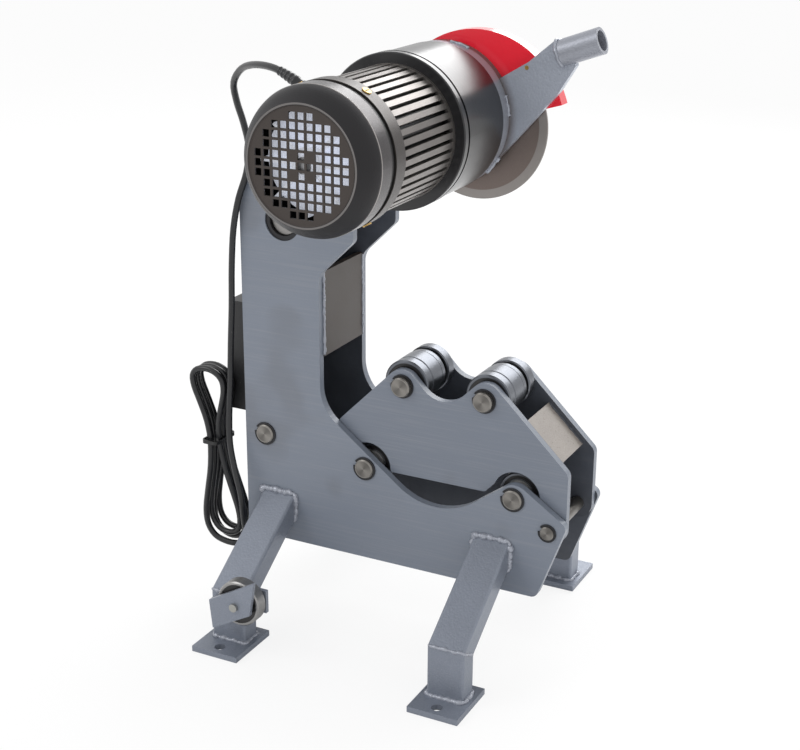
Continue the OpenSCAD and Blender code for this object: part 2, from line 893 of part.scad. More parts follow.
plug_route = [
    hank_point(hank_end), [-201.5, -28.8, 183.5], [-201.8, -27.9, 195], [-201.5, -25.8, 206.3],
    [-200.9, -21.5, 216.9], [-200.3, -14.5, 226], [-199, -5.1, 232.4], [-196.8, 5.9, 235],
    [-193.9, 16.9, 233.7], [-191, 26.8, 228.8], [-189, 34, 220.2], [-188, 37.8, 209.4],
    [-188, 38, 198]
];

module supply_cord() {
    color("black") swept(through(supply_route, 1), cord_d / 2, cord_sides, [1, 0, 0]);
}

module motor_lead() {
    color("black") swept(through(lead_route, 1), cord_d / 2, cord_sides, [0, 1, 0]);
}

module plug_cord() {
    color("black") swept(through(plug_route, 1), cord_d / 2, cord_sides, [0, 1, 0]);
}

// A hank of long loops drawn in at the tie. The turn is counted from the bottom, up the left side
function smooth(t) = let (s = max(0, min(1, t))) s * s * (3 - 2 * s);
function hank_point(turn) =
    let (
        loop = turn / 360,
        climbs = [for (k = [0:hank_loops]) smooth((turn - 360 * k - climb_from) / climb_turn)],
        layer = climbs * [for (k = [0:hank_loops]) 1],
        inward = 1 - abs(loop % 2 - 1),
        half_w = hank_waist + (hank_spread - hank_step * inward) * cos(turn) ^ 2,
        up = cos(turn) < 0 ? hank_up : hank_down,
        z = -(up - hank_step * inward) * cos(turn)
    )
    hank_tie_at + [hank_lean * z - half_w * sin(turn), hank_layer * layer, z];
hank_path = [for (i = [0:hank_rings * hank_end / 360]) hank_point(360 * i / hank_rings)];

module cord_hank() {
    color("black") swept(hank_path, cord_d / 2, 6, [0, 1, 0]);
}

module hank_tie() {
    w = 2 * hank_waist + cord_d + 4 * loose;
    d = (hank_loops + 0.5) * hank_layer + cord_d + 4 * loose;
    r = cord_d / 2;
    color("black") translate([hank_tie_at[0], hank_tie_at[1] + (hank_loops + 0.5) * hank_layer / 2,
        hank_tie_at[2] - tie_h / 2]) linear_extrude(tie_h) difference() {
            polygon(rounded(box_corners(w + 2 * tie_wall, d + 2 * tie_wall, r + tie_wall)));
            polygon(rounded(box_corners(w, d, r)));
        }
}

module plug() {
    color("black") translate(plug_at) {
        cylinder(plug_collar_h, plug_collar_r + tie_wall, cord_d / 2 + tie_wall);
        translate([0, 0, -plug_h]) linear_extrude(plug_h)
            polygon(rounded(box_corners(plug_d, plug_w, corner_r)));
        for (side = [-1, 1]) translate([0, side * plug_prong_gap / 2, -plug_h - plug_prong_l])
            cylinder(plug_prong_l, r = plug_prong_r);
    }
}

// The balance spring: its wire rises from the anchor, coils up and ends under the hub's lug
spring_low_z = anchor_at[1] + anchor_stud_h;
spring_high_z = pivot_z - lug_drop;
spring_end = 3 * spring_wire;
function spring_point(t) =
    let (
        ends = 1 - smooth((1 - abs(2 * t - 1)) * spring_turns / 1.5),
        z = spring_low_z + spring_end + t * (spring_high_z - spring_low_z - 2 * spring_end),
        r = spring_r * (1 - ends)
    )
    [anchor_at[0] + r * cos(360 * spring_turns * t), spring_y + r * sin(360 * spring_turns * t), z];
spring_path = concat(
    [[anchor_at[0], spring_y, spring_low_z], [anchor_at[0], spring_y, spring_low_z + spring_wire]],
    [for (i = [0:8 * spring_turns]) spring_point(i / (8 * spring_turns))],
    [[anchor_at[0], spring_y, spring_high_z - spring_wire], [anchor_at[0], spring_y, spring_high_z]]
);

module balance_spring() {
    color("silver") swept(spring_path, spring_wire / 2, 6, [1, 0, 0]);
}

// Carriage: two plates with lobes over the upper roller pins and notches for the lower rollers
lobe_lean = 1.5;
saddle_x = 31.5;
saddle_drop = 8.4;
saddle_r = 28;
slope_low_z = 206;
slope_r = 10;
notch_in = 10;
notch_wall = [11.5, 20.5];
belly_x = 107;
belly_r = 3;
tip_low = [[-28, 197], [-46, 206]];

module carriage_shape() {
    left = upper_roller_at[0];
    right = upper_roller_at[1];
    far = lower_roller_at[1];
    near = lower_roller_at[0];
    lobe_top = lobe_r * sqrt(2);
    difference() {
        polygon(rounded([
            [each carriage_tip, carriage_tip_r],
            [left[0], left[1] + lobe_top, lobe_r],
            [left[0] + saddle_x, left[1] - saddle_drop, saddle_r],
            [right[0] - saddle_x, right[1] - saddle_drop, saddle_r],
            [right[0] + lobe_lean, right[1] + lobe_top + lobe_lean / 2, lobe_r],
            [hinge_at[0] + ear_r, slope_low_z, slope_r],
            [hinge_at[0] + ear_r, hinge_at[1] - ear_r, ear_r - run],
            [hinge_at[0] - ear_r, hinge_at[1] - ear_r, ear_r - run],
            [hinge_at[0] - ear_r, hinge_at[1], 0],
            [far[0] + notch_in, far[1], 0],
            [far[0] - notch_wall[0], far[1] + notch_wall[1], 0],
            [belly_x, carriage_low_z, belly_r],
            [near[0] + notch_in, carriage_low_z, 0],
            [near[0], near[1] + notch_in, 0],
            [each tip_low[0], 0],
            [each tip_low[1], belly_r]
        ]));
        for (at = lower_roller_at) translate(at) circle(notch_r);
        for (at = upper_roller_at) translate(at) circle(pin_r + fit);
        translate(hinge_at) circle(hinge_r + fit);
    }
}

module carriage_front_plate() {
    color("slategray") plate_y(-carriage_out, -carriage_in) carriage_shape();
}

module carriage_rear_plate() {
    color("slategray") plate_y(carriage_in, carriage_out) carriage_shape();
}

module carriage_tie_plate() {
    way = unit(carriage_tie_to - carriage_tie_from);
    inward = [way[1], -way[0]] * tie_t;
    color("dimgray") plate_y(-carriage_in, carriage_in) polygon([
        carriage_tie_from, carriage_tie_to, carriage_tie_to + inward, carriage_tie_from + inward
    ]);
}

module upper_roller_shafts() {
    color("gainsboro") for (at = upper_roller_at)
        grooved_pin(at, pin_r, carriage_out + carriage_pin_proud, carriage_out);
}

module carriage_clips() {
    color("dimgray") for (at = upper_roller_at) clip_pair(at, pin_r, carriage_out);
}

// Head
spindle_hole_r = spindle_r + 2 * loose;
guard_screw_inset = 10;
guard_screw_ring = guard_d / 2 - guard_screw_inset;
guard_screw_bearings = [48, 160, 188];
screw_shank_r = 2;
screw_head_t = 2;

module at_guard_screws() {
    for (bearing = guard_screw_bearings)
        translate(output_at + guard_screw_ring * [cos(bearing), sin(bearing)]) children();
}

module swing_outline() {
    way = unit(motor_at - pivot_at);
    across = [-way[1], way[0]];
    translate(motor_at) circle(collar_d / 2);
    translate(pivot_at) circle(hub_disc_r);
    polygon([
        pivot_at + across * arm_half, pivot_at - across * arm_half,
        motor_at - across * arm_root_half, motor_at + across * arm_root_half
    ]);
    translate(motor_at) polygon(rounded(handle_corners));
}

module swing_plate() {
    color("silver") plate_y(swing_front_y, swing_back_y) difference() {
        swing_outline();
        translate(pivot_at) circle(hub_r + fit);
        translate(output_at) circle(spindle_hole_r);
        at_guard_screws() circle(screw_shank_r + fit);
    }
}

module pivot_hub() {
    color("silver") difference() {
        union() {
            disc_y(pivot_at, hub_r, -hub_half, hub_half);
            translate([pivot_x - lug_arm - lug_half, lug_front_y, pivot_z - lug_drop])
                cube([lug_arm + lug_half, lug_back_y - lug_front_y, 2 * lug_drop]);
        }
        disc_y(pivot_at, pivot_r + fit, -frame_in, frame_in);
    }
}

module clamp_collar() {
    color("silver") ring_y(motor_at, collar_bore_r, collar_d / 2, housing_back_y, swing_front_y);
}

module handle_tube() {
    root = motor_at + (flat(handle_corners[2]) + flat(handle_corners[3])) / 2;
    color("silver") difference() {
        translate([root[0], (swing_front_y + swing_back_y) / 2, root[1]])
            rotate([0, 90 - handle_rise, 0]) translate([0, 0, -handle_sink]) difference() {
                cylinder(handle_l + handle_sink, d = handle_d);
                translate([0, 0, -over])
                    cylinder(handle_l + handle_sink + 2 * over, r = handle_d / 2 - handle_wall);
            }
        plate_y(swing_front_y, swing_back_y) swing_outline();
    }
}

cluster_boss_r = small_bearing_r + boss_wall;
cluster_boss_y = housing_back_y - housing_web - seat_web;
small_seat_y = cluster_boss_y + small_bearing_w;
spindle_seat_y = housing_back_y - seat_web;
shield_seat_y = flange_front_y + flange_web;
shield_small_seat_y = housing_front_y - small_bearing_w;

module gear_housing() {
    web_y = housing_back_y - housing_web;
    r = housing_d / 2;
    color("black") difference() {
        union() {
            ring_y(motor_at, r - housing_wall, r, housing_front_y, web_y + over);
            turned(motor_at) polygon([
                [0, web_y], [r, web_y], [r, housing_back_y - pin_chamfer],
                [r - pin_chamfer, housing_back_y], [0, housing_back_y]
            ]);
            disc_y(output_at, spindle_boss_r, spindle_boss_y, web_y + over);
            disc_y(cluster_at, cluster_boss_r, cluster_boss_y, web_y + over);
        }
        disc_y(output_at, spindle_bearing_r + fit, spindle_boss_y - over, spindle_seat_y);
        disc_y(output_at, spindle_r + loose, spindle_boss_y, housing_back_y + over);
        disc_y(cluster_at, small_bearing_r + fit, cluster_boss_y - over, small_seat_y);
    }
}

module end_shield() {
    r = flange_d / 2;
    groove_y = (flange_front_y + housing_front_y) / 2;
    low = groove_y - flange_groove_w / 2;
    high = groove_y + flange_groove_w / 2;
    color("black") difference() {
        turned(motor_at) polygon([
            [0, flange_front_y], [r - pin_chamfer, flange_front_y],
            [r, flange_front_y + pin_chamfer], [r, low], [r - flange_groove_depth, low],
            [r - flange_groove_depth, high], [r, high], [r, housing_front_y - pin_chamfer],
            [r - pin_chamfer, housing_front_y], [0, housing_front_y]
        ]);
        disc_y(motor_at, motor_bearing_r + fit, shield_seat_y, housing_front_y + over);
        disc_y(motor_at, rotor_shaft_r + loose, flange_front_y - over, housing_front_y);
        for (at = [cluster_at, output_at])
            disc_y(at, small_bearing_r + fit, shield_small_seat_y, housing_front_y + over);
    }
}

module motor_shell() {
    ring_y = flange_front_y - shell_ring_w;
    color("dimgray") difference() {
        union() {
            plate_y(shell_front_y, ring_y) translate(motor_at) {
                circle(shell_body_r);
                for (i = [0:fin_count - 1]) rotate(360 / fin_count * (i + 0.5))
                    translate([shell_bore_r, -fin_t / 2]) square([fin_d / 2 - shell_bore_r, fin_t]);
            }
            disc_y(motor_at, fin_d / 2 + loose, ring_y - over, flange_front_y);
        }
        disc_y(motor_at, shell_bore_r, shell_front_y - over, flange_front_y + over);
    }
}

module stator() {
    color("orange")
        ring_y(motor_at, stator_bore_r, shell_bore_r - fit, stator_ys[0], stator_ys[1]);
}

shield_ring_r = cover_d / 2 - housing_wall;
shield_hub_r = motor_bearing_r + housing_wall;
shield_hub_y = rear_shield_y - shield_hub_rise;
rear_seat_y = shield_hub_y + motor_bearing_w;
screw_y = (rear_shield_y + shell_front_y) / 2;
screw_seat_r = cover_d / 2 - screw_sink;

// Places a radial screw on the motor's rear shield
module at_cover_screws() {
    for (bearing = screw_bearings) translate([motor_at[0], screw_y, motor_at[1]])
        rotate([0, 90 - bearing, 0]) children();
}

module rear_end_shield() {
    spigot_r = cover_d / 2 - cover_t - spigot_play;
    color("dimgray") difference() {
        union() {
            ring_y(motor_at, shield_ring_r - over, cover_d / 2, rear_shield_y, shell_front_y);
            ring_y(motor_at, shield_ring_r - over, spigot_r, rear_shield_y - spigot_l,
                rear_shield_y + over);
            disc_y(motor_at, shield_ring_r, rear_seat_y - over, shell_front_y);
            disc_y(motor_at, shield_hub_r, shield_hub_y, shell_front_y);
        }
        disc_y(motor_at, motor_bearing_r + fit, shield_hub_y - over, rear_seat_y);
        disc_y(motor_at, rotor_shaft_r + loose, shield_hub_y, shell_front_y + over);
        at_cover_screws() {
            translate([0, 0, shield_ring_r]) cylinder(cover_d, r = screw_shank_r + fit);
            translate([0, 0, screw_seat_r]) cylinder(cover_d, r = screw_r + fit);
        }
    }
}

// Holes from the grille's centre to its edge, and how far past that a hole may still stand
grille_reach = 5;
grille_edge_share = 0.1;
bead_w = 3;
bead_rise = 0.8;
shoulder_steps = 10;
shoulder_bulge = 2;

// The fan cover's slope from the grille's bead to its rim, at an inset of the wall or none
function shoulder(inset) =
    [for (i = [0:shoulder_steps])
        let (t = i / shoulder_steps, from = grille_d / 2 + bead_w, to = cover_d / 2)
        [from + (to - from) * t + shoulder_bulge * sin(180 * t) - inset,
            cover_front_y + (shoulder_y - cover_front_y) * t + (1 - t) * inset]];

module fan_cover() {
    r = grille_d / 2;
    face_y = cover_front_y + bead_rise;
    back = shoulder(cover_t);
    color("#2b2b2b") difference() {
        turned(motor_at) polygon(concat(
            [[0, face_y], [r, face_y], [r + bead_rise, cover_front_y]],
            shoulder(0),
            [[cover_d / 2, cover_back_y], [cover_d / 2 - cover_t, cover_back_y]],
            [for (i = [shoulder_steps:-1:1]) back[i]],
            [[r, face_y + cover_t], [0, face_y + cover_t]]
        ));
        plate_y(cover_front_y - over, face_y + 2 * cover_t) translate(motor_at)
            for (i = [-grille_reach:grille_reach], j = [-grille_reach:grille_reach])
                if (norm([i, j]) < grille_reach + grille_edge_share && !(abs(i) == 1 && abs(j) == 1))
                    translate(grille_pitch * [i, j]) square(grille_hole, center = true);
    }
}

module cover_screws() {
    color("goldenrod") {
        at_cover_screws() {
            translate([0, 0, shield_ring_r]) cylinder(screw_seat_r - shield_ring_r, r = screw_shank_r);
            translate([0, 0, screw_seat_r]) cylinder(screw_head_t, r = screw_r);
        }
        plate_y(swing_front_y, guard_front_y + guard_sheet_t + over)
            at_guard_screws() circle(screw_shank_r);
        plate_y(guard_front_y + guard_sheet_t, guard_front_y + guard_sheet_t + screw_head_t)
            at_guard_screws() circle(screw_r);
    }
}

module guard_half(inner) {
    r = guard_d / 2;
    translate(output_at) difference() {
        circle(r);
        circle(inner);
        rotate(guard_tilt) translate([-2 * r, -2 * r]) square([4 * r, 2 * r]);
    }
}

module blade_guard() {
    color("crimson") difference() {
        union() {
            plate_y(guard_front_y, guard_back_y) guard_half(guard_d / 2 - guard_sheet_t);
            plate_y(guard_front_y, guard_front_y + guard_sheet_t) guard_half(guard_mouth_r);
            plate_y(guard_back_y - guard_sheet_t, guard_back_y) guard_half(guard_mouth_r);
        }
        plate_y(guard_front_y - over, guard_front_y + guard_sheet_t + over)
            at_guard_screws() circle(screw_shank_r + fit);
    }
}

module shaft_bearings() {
    color("gainsboro") {
        ring_y(motor_at, rotor_shaft_r + fit, motor_bearing_r, shield_seat_y, housing_front_y);
        ring_y(motor_at, rotor_shaft_r + fit, motor_bearing_r, shield_hub_y, rear_seat_y);
        ring_y(cluster_at, cluster_shaft_r + fit, small_bearing_r, shield_small_seat_y,
            housing_front_y);
        ring_y(cluster_at, cluster_shaft_r + fit, small_bearing_r, cluster_boss_y, small_seat_y);
        ring_y(output_at, spindle_nose_r + fit, small_bearing_r, shield_small_seat_y,
            housing_front_y);
        ring_y(output_at, spindle_r + fit, spindle_bearing_r, spindle_boss_y, spindle_seat_y);
    }
}

module motor_gland() {
    color("black") translate([motor_at[0], gland_y, motor_at[1]]) rotate([0, 90 - gland_bearing, 0])
        translate([0, 0, fin_d / 2 + run]) {
            cylinder(gland_l, r = gland_r * gland_neck_share);
            cylinder(gland_foot, r = gland_r);
        }
}

fan_shaft_proud = 8;
fan_shaft_y = shield_hub_y - fan_shaft_proud;
rotor_end_y = -252;

module rotor() {
    color("silver") {
        disc_y(motor_at, fan_shaft_r, rotor_end_y, fan_shaft_y + over);
        disc_y(motor_at, rotor_shaft_r, fan_shaft_y, pinion_ys[0] + over);
        disc_y(motor_at, rotor_core_r, rotor_core_ys[0], rotor_core_ys[1]);
        gear_y(motor_at, motor_teeth, cluster_module, cluster_bearing, pinion_ys);
    }
}

module cooling_fan() {
    color("whitesmoke") difference() {
        union() {
            disc_y(motor_at, fan_hub_r, fan_ys[0], fan_ys[1]);
            disc_y(motor_at, fan_r, fan_ys[1] - fan_disc_t, fan_ys[1]);
            plate_y(fan_ys[0] + over, fan_ys[1] - over) translate(motor_at)
                for (i = [0:fan_blades - 1]) rotate(360 / fan_blades * i)
                    translate([fan_hub_r - over, -fan_blade_t / 2])
                    square([fan_r - fan_hub_r, fan_blade_t]);
            plate_y(fan_ys[0] - fan_nut_t, fan_ys[0] + over) translate(motor_at)
                circle(fan_nut_r, $fn = 6);
        }
        disc_y(motor_at, fan_shaft_r + fit, fan_ys[0] - fan_nut_t - over, fan_ys[1] + over);
    }
}

module cluster_gear() {
    color("silver") {
        disc_y(cluster_at, cluster_shaft_r, shield_small_seat_y, small_seat_y);
        gear_y(cluster_at, wheel_teeth, cluster_module, cluster_bearing + 180 + 180 / wheel_teeth,
            wheel_ys);
        gear_y(cluster_at, cluster_teeth, output_module, output_bearing,
            [wheel_ys[1] - over, cluster_pinion_ys[1]]);
    }
}

module blade_spindle() {
    color("silver") {
        gear_y(output_at, output_teeth, output_module, output_bearing + 180 + 180 / output_teeth,
            output_gear_ys);
        turned(output_at) polygon([
            [0, shield_small_seat_y], [spindle_nose_r, shield_small_seat_y],
            [spindle_nose_r, wheel_ys[1]], [spacer_r, wheel_ys[1]],
            [spacer_r, spindle_boss_y - 2 * over], [spindle_r, spindle_boss_y - 2 * over],
            [spindle_r, swing_back_y + loose], [flange_disc_r, swing_back_y + loose],
            [flange_disc_r, blade_y], [blade_bore_r, blade_y], [blade_bore_r, blade_y + blade_t],
            [spindle_thread_r, blade_y + blade_t], [spindle_thread_r, spindle_end_y],
            [0, spindle_end_y]
        ]);
    }
}

module saw_blade() {
    r = blade_d / 2;
    back_y = blade_y + blade_t;
    inner = r - blade_rim_w;
    step = blade_rim_step;
    color("rosybrown") turned(output_at) polygon([
        [blade_bore_r + fit, blade_y], [inner, blade_y], [inner, blade_y + step],
        [r - loose, blade_y + step], [r, blade_y + 2 * step], [r, back_y - 2 * step],
        [r - loose, back_y - step], [inner, back_y - step], [inner, back_y],
        [blade_bore_r + fit, back_y]
    ]);
}

module blade_nut() {
    washer_y = blade_y + blade_t;
    color("gray") difference() {
        union() {
            disc_y(output_at, flange_disc_r, washer_y, washer_y + washer_t);
            plate_y(washer_y + over, washer_y + washer_t + nut_t) translate(output_at)
                circle(nut_r, $fn = 6);
        }
        disc_y(output_at, spindle_thread_r + fit, washer_y - over, washer_y + washer_t + nut_t + over);
    }
}

front_side_plate();
rear_side_plate();
column_back_strip();
column_tie_plate();
legs();
foot_plates();
spring_anchor_shaft();
frame_shafts();
frame_clips();
lower_inner_rings();
wheel_brackets();
wheel_axle_bolts();
head_pivot_shaft();
pivot_bushes();
switch_box();
switch_box_lid();
switch_lid_screws();
contact_block();
cable_glands();
supply_cord();
cord_hank();
hank_tie();
plug_cord();
plug();
motor_lead();
balance_spring();
start_button();
stop_button();
front_transport_wheel();
rear_transport_wheel();
lower_left_roller();
lower_right_roller();
carriage_front_plate();
carriage_rear_plate();
carriage_tie_plate();
upper_roller_shafts();
carriage_clips();
upper_inner_rings();
upper_left_roller();
upper_right_roller();
swing_plate();
pivot_hub();
clamp_collar();
handle_tube();
gear_housing();
end_shield();
motor_shell();
stator();
rear_end_shield();
fan_cover();
cover_screws();
blade_guard();
shaft_bearings();
motor_gland();
rotor();
cooling_fan();
cluster_gear();
blade_spindle();
saw_blade();
blade_nut();
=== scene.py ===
import bpy
import numpy as np
from mathutils import Matrix, Vector


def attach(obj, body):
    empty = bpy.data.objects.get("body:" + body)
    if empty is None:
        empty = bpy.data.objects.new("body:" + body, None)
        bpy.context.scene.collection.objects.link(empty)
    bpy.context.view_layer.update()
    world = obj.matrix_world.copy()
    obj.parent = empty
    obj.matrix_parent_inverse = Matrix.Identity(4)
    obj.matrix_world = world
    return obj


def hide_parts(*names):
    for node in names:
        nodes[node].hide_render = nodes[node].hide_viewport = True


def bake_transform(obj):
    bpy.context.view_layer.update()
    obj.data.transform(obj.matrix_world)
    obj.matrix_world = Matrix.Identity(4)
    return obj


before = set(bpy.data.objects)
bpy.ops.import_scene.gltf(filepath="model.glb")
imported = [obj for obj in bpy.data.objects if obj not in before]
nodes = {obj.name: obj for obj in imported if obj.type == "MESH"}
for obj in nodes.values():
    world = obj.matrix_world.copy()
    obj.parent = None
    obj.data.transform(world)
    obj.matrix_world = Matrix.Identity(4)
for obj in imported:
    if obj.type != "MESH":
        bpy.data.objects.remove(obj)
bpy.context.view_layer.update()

# The viewpoint: the tool is seen from its front right and a little from above, through a long
# lens, so that the motor points at the viewer and the blade side faces away.
CAMERA_AT = (0.6470, -1.2834, 0.7852)
CAMERA_TURN, CAMERA_TILT, CAMERA_ROLL = 26.944, 20.034, 0.3357
LENS_MM, SENSOR_MM = 68.98, 36.0
CAMERA_REACH = (0.05, 60.0)

turn, tilt, roll = np.radians([CAMERA_TURN, CAMERA_TILT, CAMERA_ROLL])
ahead = np.array([-np.sin(turn) * np.cos(tilt), np.cos(turn) * np.cos(tilt), -np.sin(tilt)])
level = np.array([np.cos(turn), np.sin(turn), 0.0])
upward = np.cross(level, ahead)
camera_right = level * np.cos(roll) + upward * np.sin(roll)
camera_up = upward * np.cos(roll) - level * np.sin(roll)
camera = bpy.data.objects.new("viewpoint", bpy.data.cameras.new("viewpoint"))
camera.data.sensor_width, camera.data.lens = SENSOR_MM, LENS_MM
camera.data.clip_start, camera.data.clip_end = CAMERA_REACH
camera_axes = np.eye(4)
camera_axes[:3] = np.column_stack([camera_right, camera_up, -ahead, CAMERA_AT])
camera.matrix_world = Matrix(camera_axes.tolist())
bpy.context.scene.collection.objects.link(camera)
bpy.context.scene.camera = camera

# The supply cord: black 6.5 mm rubber lead, about 1.7 m long. It drops from the switch box's
# front gland, is folded into a tied hank at the column's foot, and ends in its plug behind the box.
CORD_D = 0.0065

# The hank's measures are in millimetres and degrees. A turn is counted from its lowest point.
HANK_AT = (-197.0, -55.0, 172.0)
HANK_LEAN = 0.11
HANK_WAIST, HANK_SPREAD, HANK_STEP = 4.2, 46.0, 7.0
HANK_UP, HANK_DOWN, HANK_LAYER = 80.0, 112.0, 7.4
HANK_LOOPS, HANK_END = 3, 1170
CLIMB_FROM, CLIMB_TURN = 45, 90
HANK_POINT_TURN = 15.0


def smooth_route(points, steps):
    """A Catmull-Rom curve through the points: each span is the cubic whose slope at a point is
    half the way from the point before to the point after, cut into equal steps."""
    p = np.asarray(points, float)
    q = np.vstack([p[:1], p, p[-1:]])
    t = (np.arange(steps) / steps)[None, :, None]
    a, b, c, d = (q[k:len(p) - 1 + k, None, :] for k in range(4))
    spans = (2 * b + (c - a) * t + (2 * a - 5 * b + 4 * c - d) * t**2
             + (3 * b - a - 3 * c + d) * t**3) / 2
    return np.vstack([spans.reshape(-1, 3), p[-1:]])


def hank_line(turn):
    """A long loop drawn in at its waist, in metres: half its width grows from the waist as the
    cosine squared of the turn, and each full turn steps one layer back past the left side."""
    climbs = CLIMB_FROM + 360 * np.arange(HANK_LOOPS + 1)
    step = np.clip((turn[:, None] - climbs) / CLIMB_TURN, 0, 1)
    layer = (step**2 * (3 - 2 * step)).sum(1)
    inward = 1 - np.abs((turn / 360) % 2 - 1)
    c, s = np.cos(np.radians(turn)), np.sin(np.radians(turn))
    half = HANK_WAIST + (HANK_SPREAD - HANK_STEP * inward) * c**2
    z = -(np.where(c < 0, HANK_UP, HANK_DOWN) - HANK_STEP * inward) * c
    return np.stack([HANK_AT[0] - HANK_LEAN * z - half * s, HANK_AT[1] + HANK_LAYER * layer,
                     HANK_AT[2] + z], 1) / 1000


def carried_frames(line, first):
    """Unit directions along a line and two crosswise ones at each point: the first crosswise
    one is carried on from point to point without twist."""
    ahead = np.gradient(line, axis=0)
    ahead /= np.linalg.norm(ahead, axis=1)[:, None]
    side = np.empty_like(line)
    at = np.asarray(first, float)
    for i, way in enumerate(ahead):
        at = at - (at @ way) * way
        at = at / np.linalg.norm(at)
        side[i] = at
    return ahead, side, np.cross(ahead, side)


def grid_faces(points, close_u=False, caps=True):
    """The corners and faces of a tube-like grid of points [along, around, xyz]: the last of each
    ring joins the first, and a fan of ends closes it unless the rings close on themselves."""
    n, m = points.shape[:2]
    i = np.arange(n if close_u else n - 1)[:, None]
    j = np.arange(m)[None, :]
    a, b = i * m + j, i * m + (j + 1) % m
    c, d = (i + 1) % n * m + (j + 1) % m, (i + 1) % n * m + j
    faces = np.stack(np.broadcast_arrays(a, b, c, d), -1).reshape(-1, 4).tolist()
    corners = points.reshape(-1, 3)
    if caps and not close_u:
        corners = np.vstack([corners, points[0].mean(0), points[-1].mean(0)])
        k = np.arange(m)
        faces += np.stack([np.full(m, n * m), (k + 1) % m, k], 1).tolist()
        faces += np.stack([np.full(m, n * m + 1), (n - 1) * m + k,
                           (n - 1) * m + (k + 1) % m], 1).tolist()
    return corners, faces


def make_piece(name, parts, smooth=True):
    """One mesh object made of several (corners, faces) parts."""
    corners, faces, count = [], [], 0
    for part_corners, part_faces in parts:
        corners += np.asarray(part_corners).tolist()
        faces += [[k + count for k in face] for face in part_faces]
        count = len(corners)
    mesh = bpy.data.meshes.new(name)
    mesh.from_pydata(corners, [], faces)
    mesh.polygons.foreach_set("use_smooth", np.full(len(mesh.polygons), smooth))
    mesh.update()
    piece = bpy.data.objects.new(name, mesh)
    bpy.context.scene.collection.objects.link(piece)
    return piece


def tube_points(line, radius, first, sides=14):
    """A round tube: each point of the line carries a ring, radius times the cosine and sine of
    the angle round it."""
    _, side, over = carried_frames(line, first)
    angle = np.linspace(0, 2 * np.pi, sides, endpoint=False)
    radius = np.broadcast_to(radius, len(line))[:, None, None]
    ring = (np.cos(angle)[None, :, None] * side[:, None]
            + np.sin(angle)[None, :, None] * over[:, None])
    return line[:, None] + radius * ring


supply_route = np.array([
    [-173, -12, 190], [-173, -12, 178], [-173, -12, 165], [-172.6, -12, 153], [-172, -12, 141],
    [-170.9, -12.2, 128], [-169.4, -12.8, 116], [-167.6, -14, 104], [-165.2, -16.4, 93],
    [-162.6, -20.5, 82], [-160, -28, 72], [-159.5, -37.5, 65], [-163.5, -46.6, 60.3],
    [-172.6, -53, 59]]) / 1000
hank = hank_line(np.arange(0, HANK_END + 1, HANK_POINT_TURN))
plug_route = np.array([
    [-201.5, -28.8, 183.5], [-201.8, -27.9, 195], [-201.5, -25.8, 206.3], [-200.9, -21.5, 216.9],
    [-200.3, -14.5, 226], [-199, -5.1, 232.4], [-196.8, 5.9, 235], [-193.9, 16.9, 233.7],
    [-191, 26.8, 228.8], [-189, 34, 220.2], [-188, 37.8, 209.4], [-188, 38, 198]]) / 1000
supply_line = smooth_route(np.vstack([supply_route, hank, plug_route]), 3)
supply_cord = make_piece("supply_lead", [
    grid_faces(tube_points(supply_line, CORD_D / 2, [1, 0, 0]))])
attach(supply_cord, "frame")
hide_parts("supply_cord", "cord_hank", "plug_cord")

# The motor lead: the same rubber cord, from the gland on the motor shell's left side, back over
# the column's head and down its edge, with one long loop below the hank, up into the switch box.
MOTOR = np.array([0.0355, 0.0, 0.5245])
GLAND_Y, GLAND_REACH, GLAND_BEARING = -0.160, 0.0721, np.radians(141)

gland_way = np.array([np.cos(GLAND_BEARING), 0, np.sin(GLAND_BEARING)])
lead_exit = MOTOR + [0, GLAND_Y, 0] + gland_way * GLAND_REACH
lead_route = np.vstack([lead_exit, lead_exit + gland_way * CORD_D, np.array([
    [-50, -151, 581], [-80, -134, 580], [-108, -114, 572], [-127, -99, 556], [-133, -86, 536],
    [-134, -74, 514], [-138, -60, 488], [-146, -53, 461], [-156, -53, 434], [-163, -53, 403],
    [-167, -52, 365], [-170, -50, 323], [-174, -48, 280], [-176, -48, 240], [-176, -52, 205],
    [-171, -60, 176], [-162, -66, 150], [-155, -67, 122], [-153.5, -66, 98], [-154, -61, 76],
    [-158, -51, 54], [-165, -35, 44], [-171, -18, 48], [-175, -3, 68], [-175.5, 8, 96],
    [-174, 12, 126], [-173, 12, 156], [-173, 12, 182], [-173, 12, 190]]) / 1000])
lead_line = smooth_route(lead_route, 4)
motor_lead = make_piece("motor_supply_lead", [
    grid_faces(tube_points(lead_line, CORD_D / 2, [0, 1, 0]))])
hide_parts("motor_lead")
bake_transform(motor_lead)

# Strain reliefs: a ribbed rubber taper 26 mm long where each lead leaves the box or the motor. Its
# wall thins along the lead, and each of its five ribs stands a little proud.
RELIEF_L, RELIEF_R, RELIEF_TAPER = 0.026, 0.0053, 0.0015
RELIEF_RIBS, RIB_H = 5, 0.0004
RELIEF_RINGS, RELIEF_SIDES, RELIEF_INSET = 53, 20, 0.0005
BOX_GLAND_X, BOX_GLAND_YS, BOX_GLAND_Z = -0.173, (-0.012, 0.012), 0.190


def relief_radius(share):
    """The radius falls evenly along the taper, and a cosine of the ribs' count is added."""
    return RELIEF_R - RELIEF_TAPER * share + RIB_H * np.cos(2 * np.pi * RELIEF_RIBS * share)


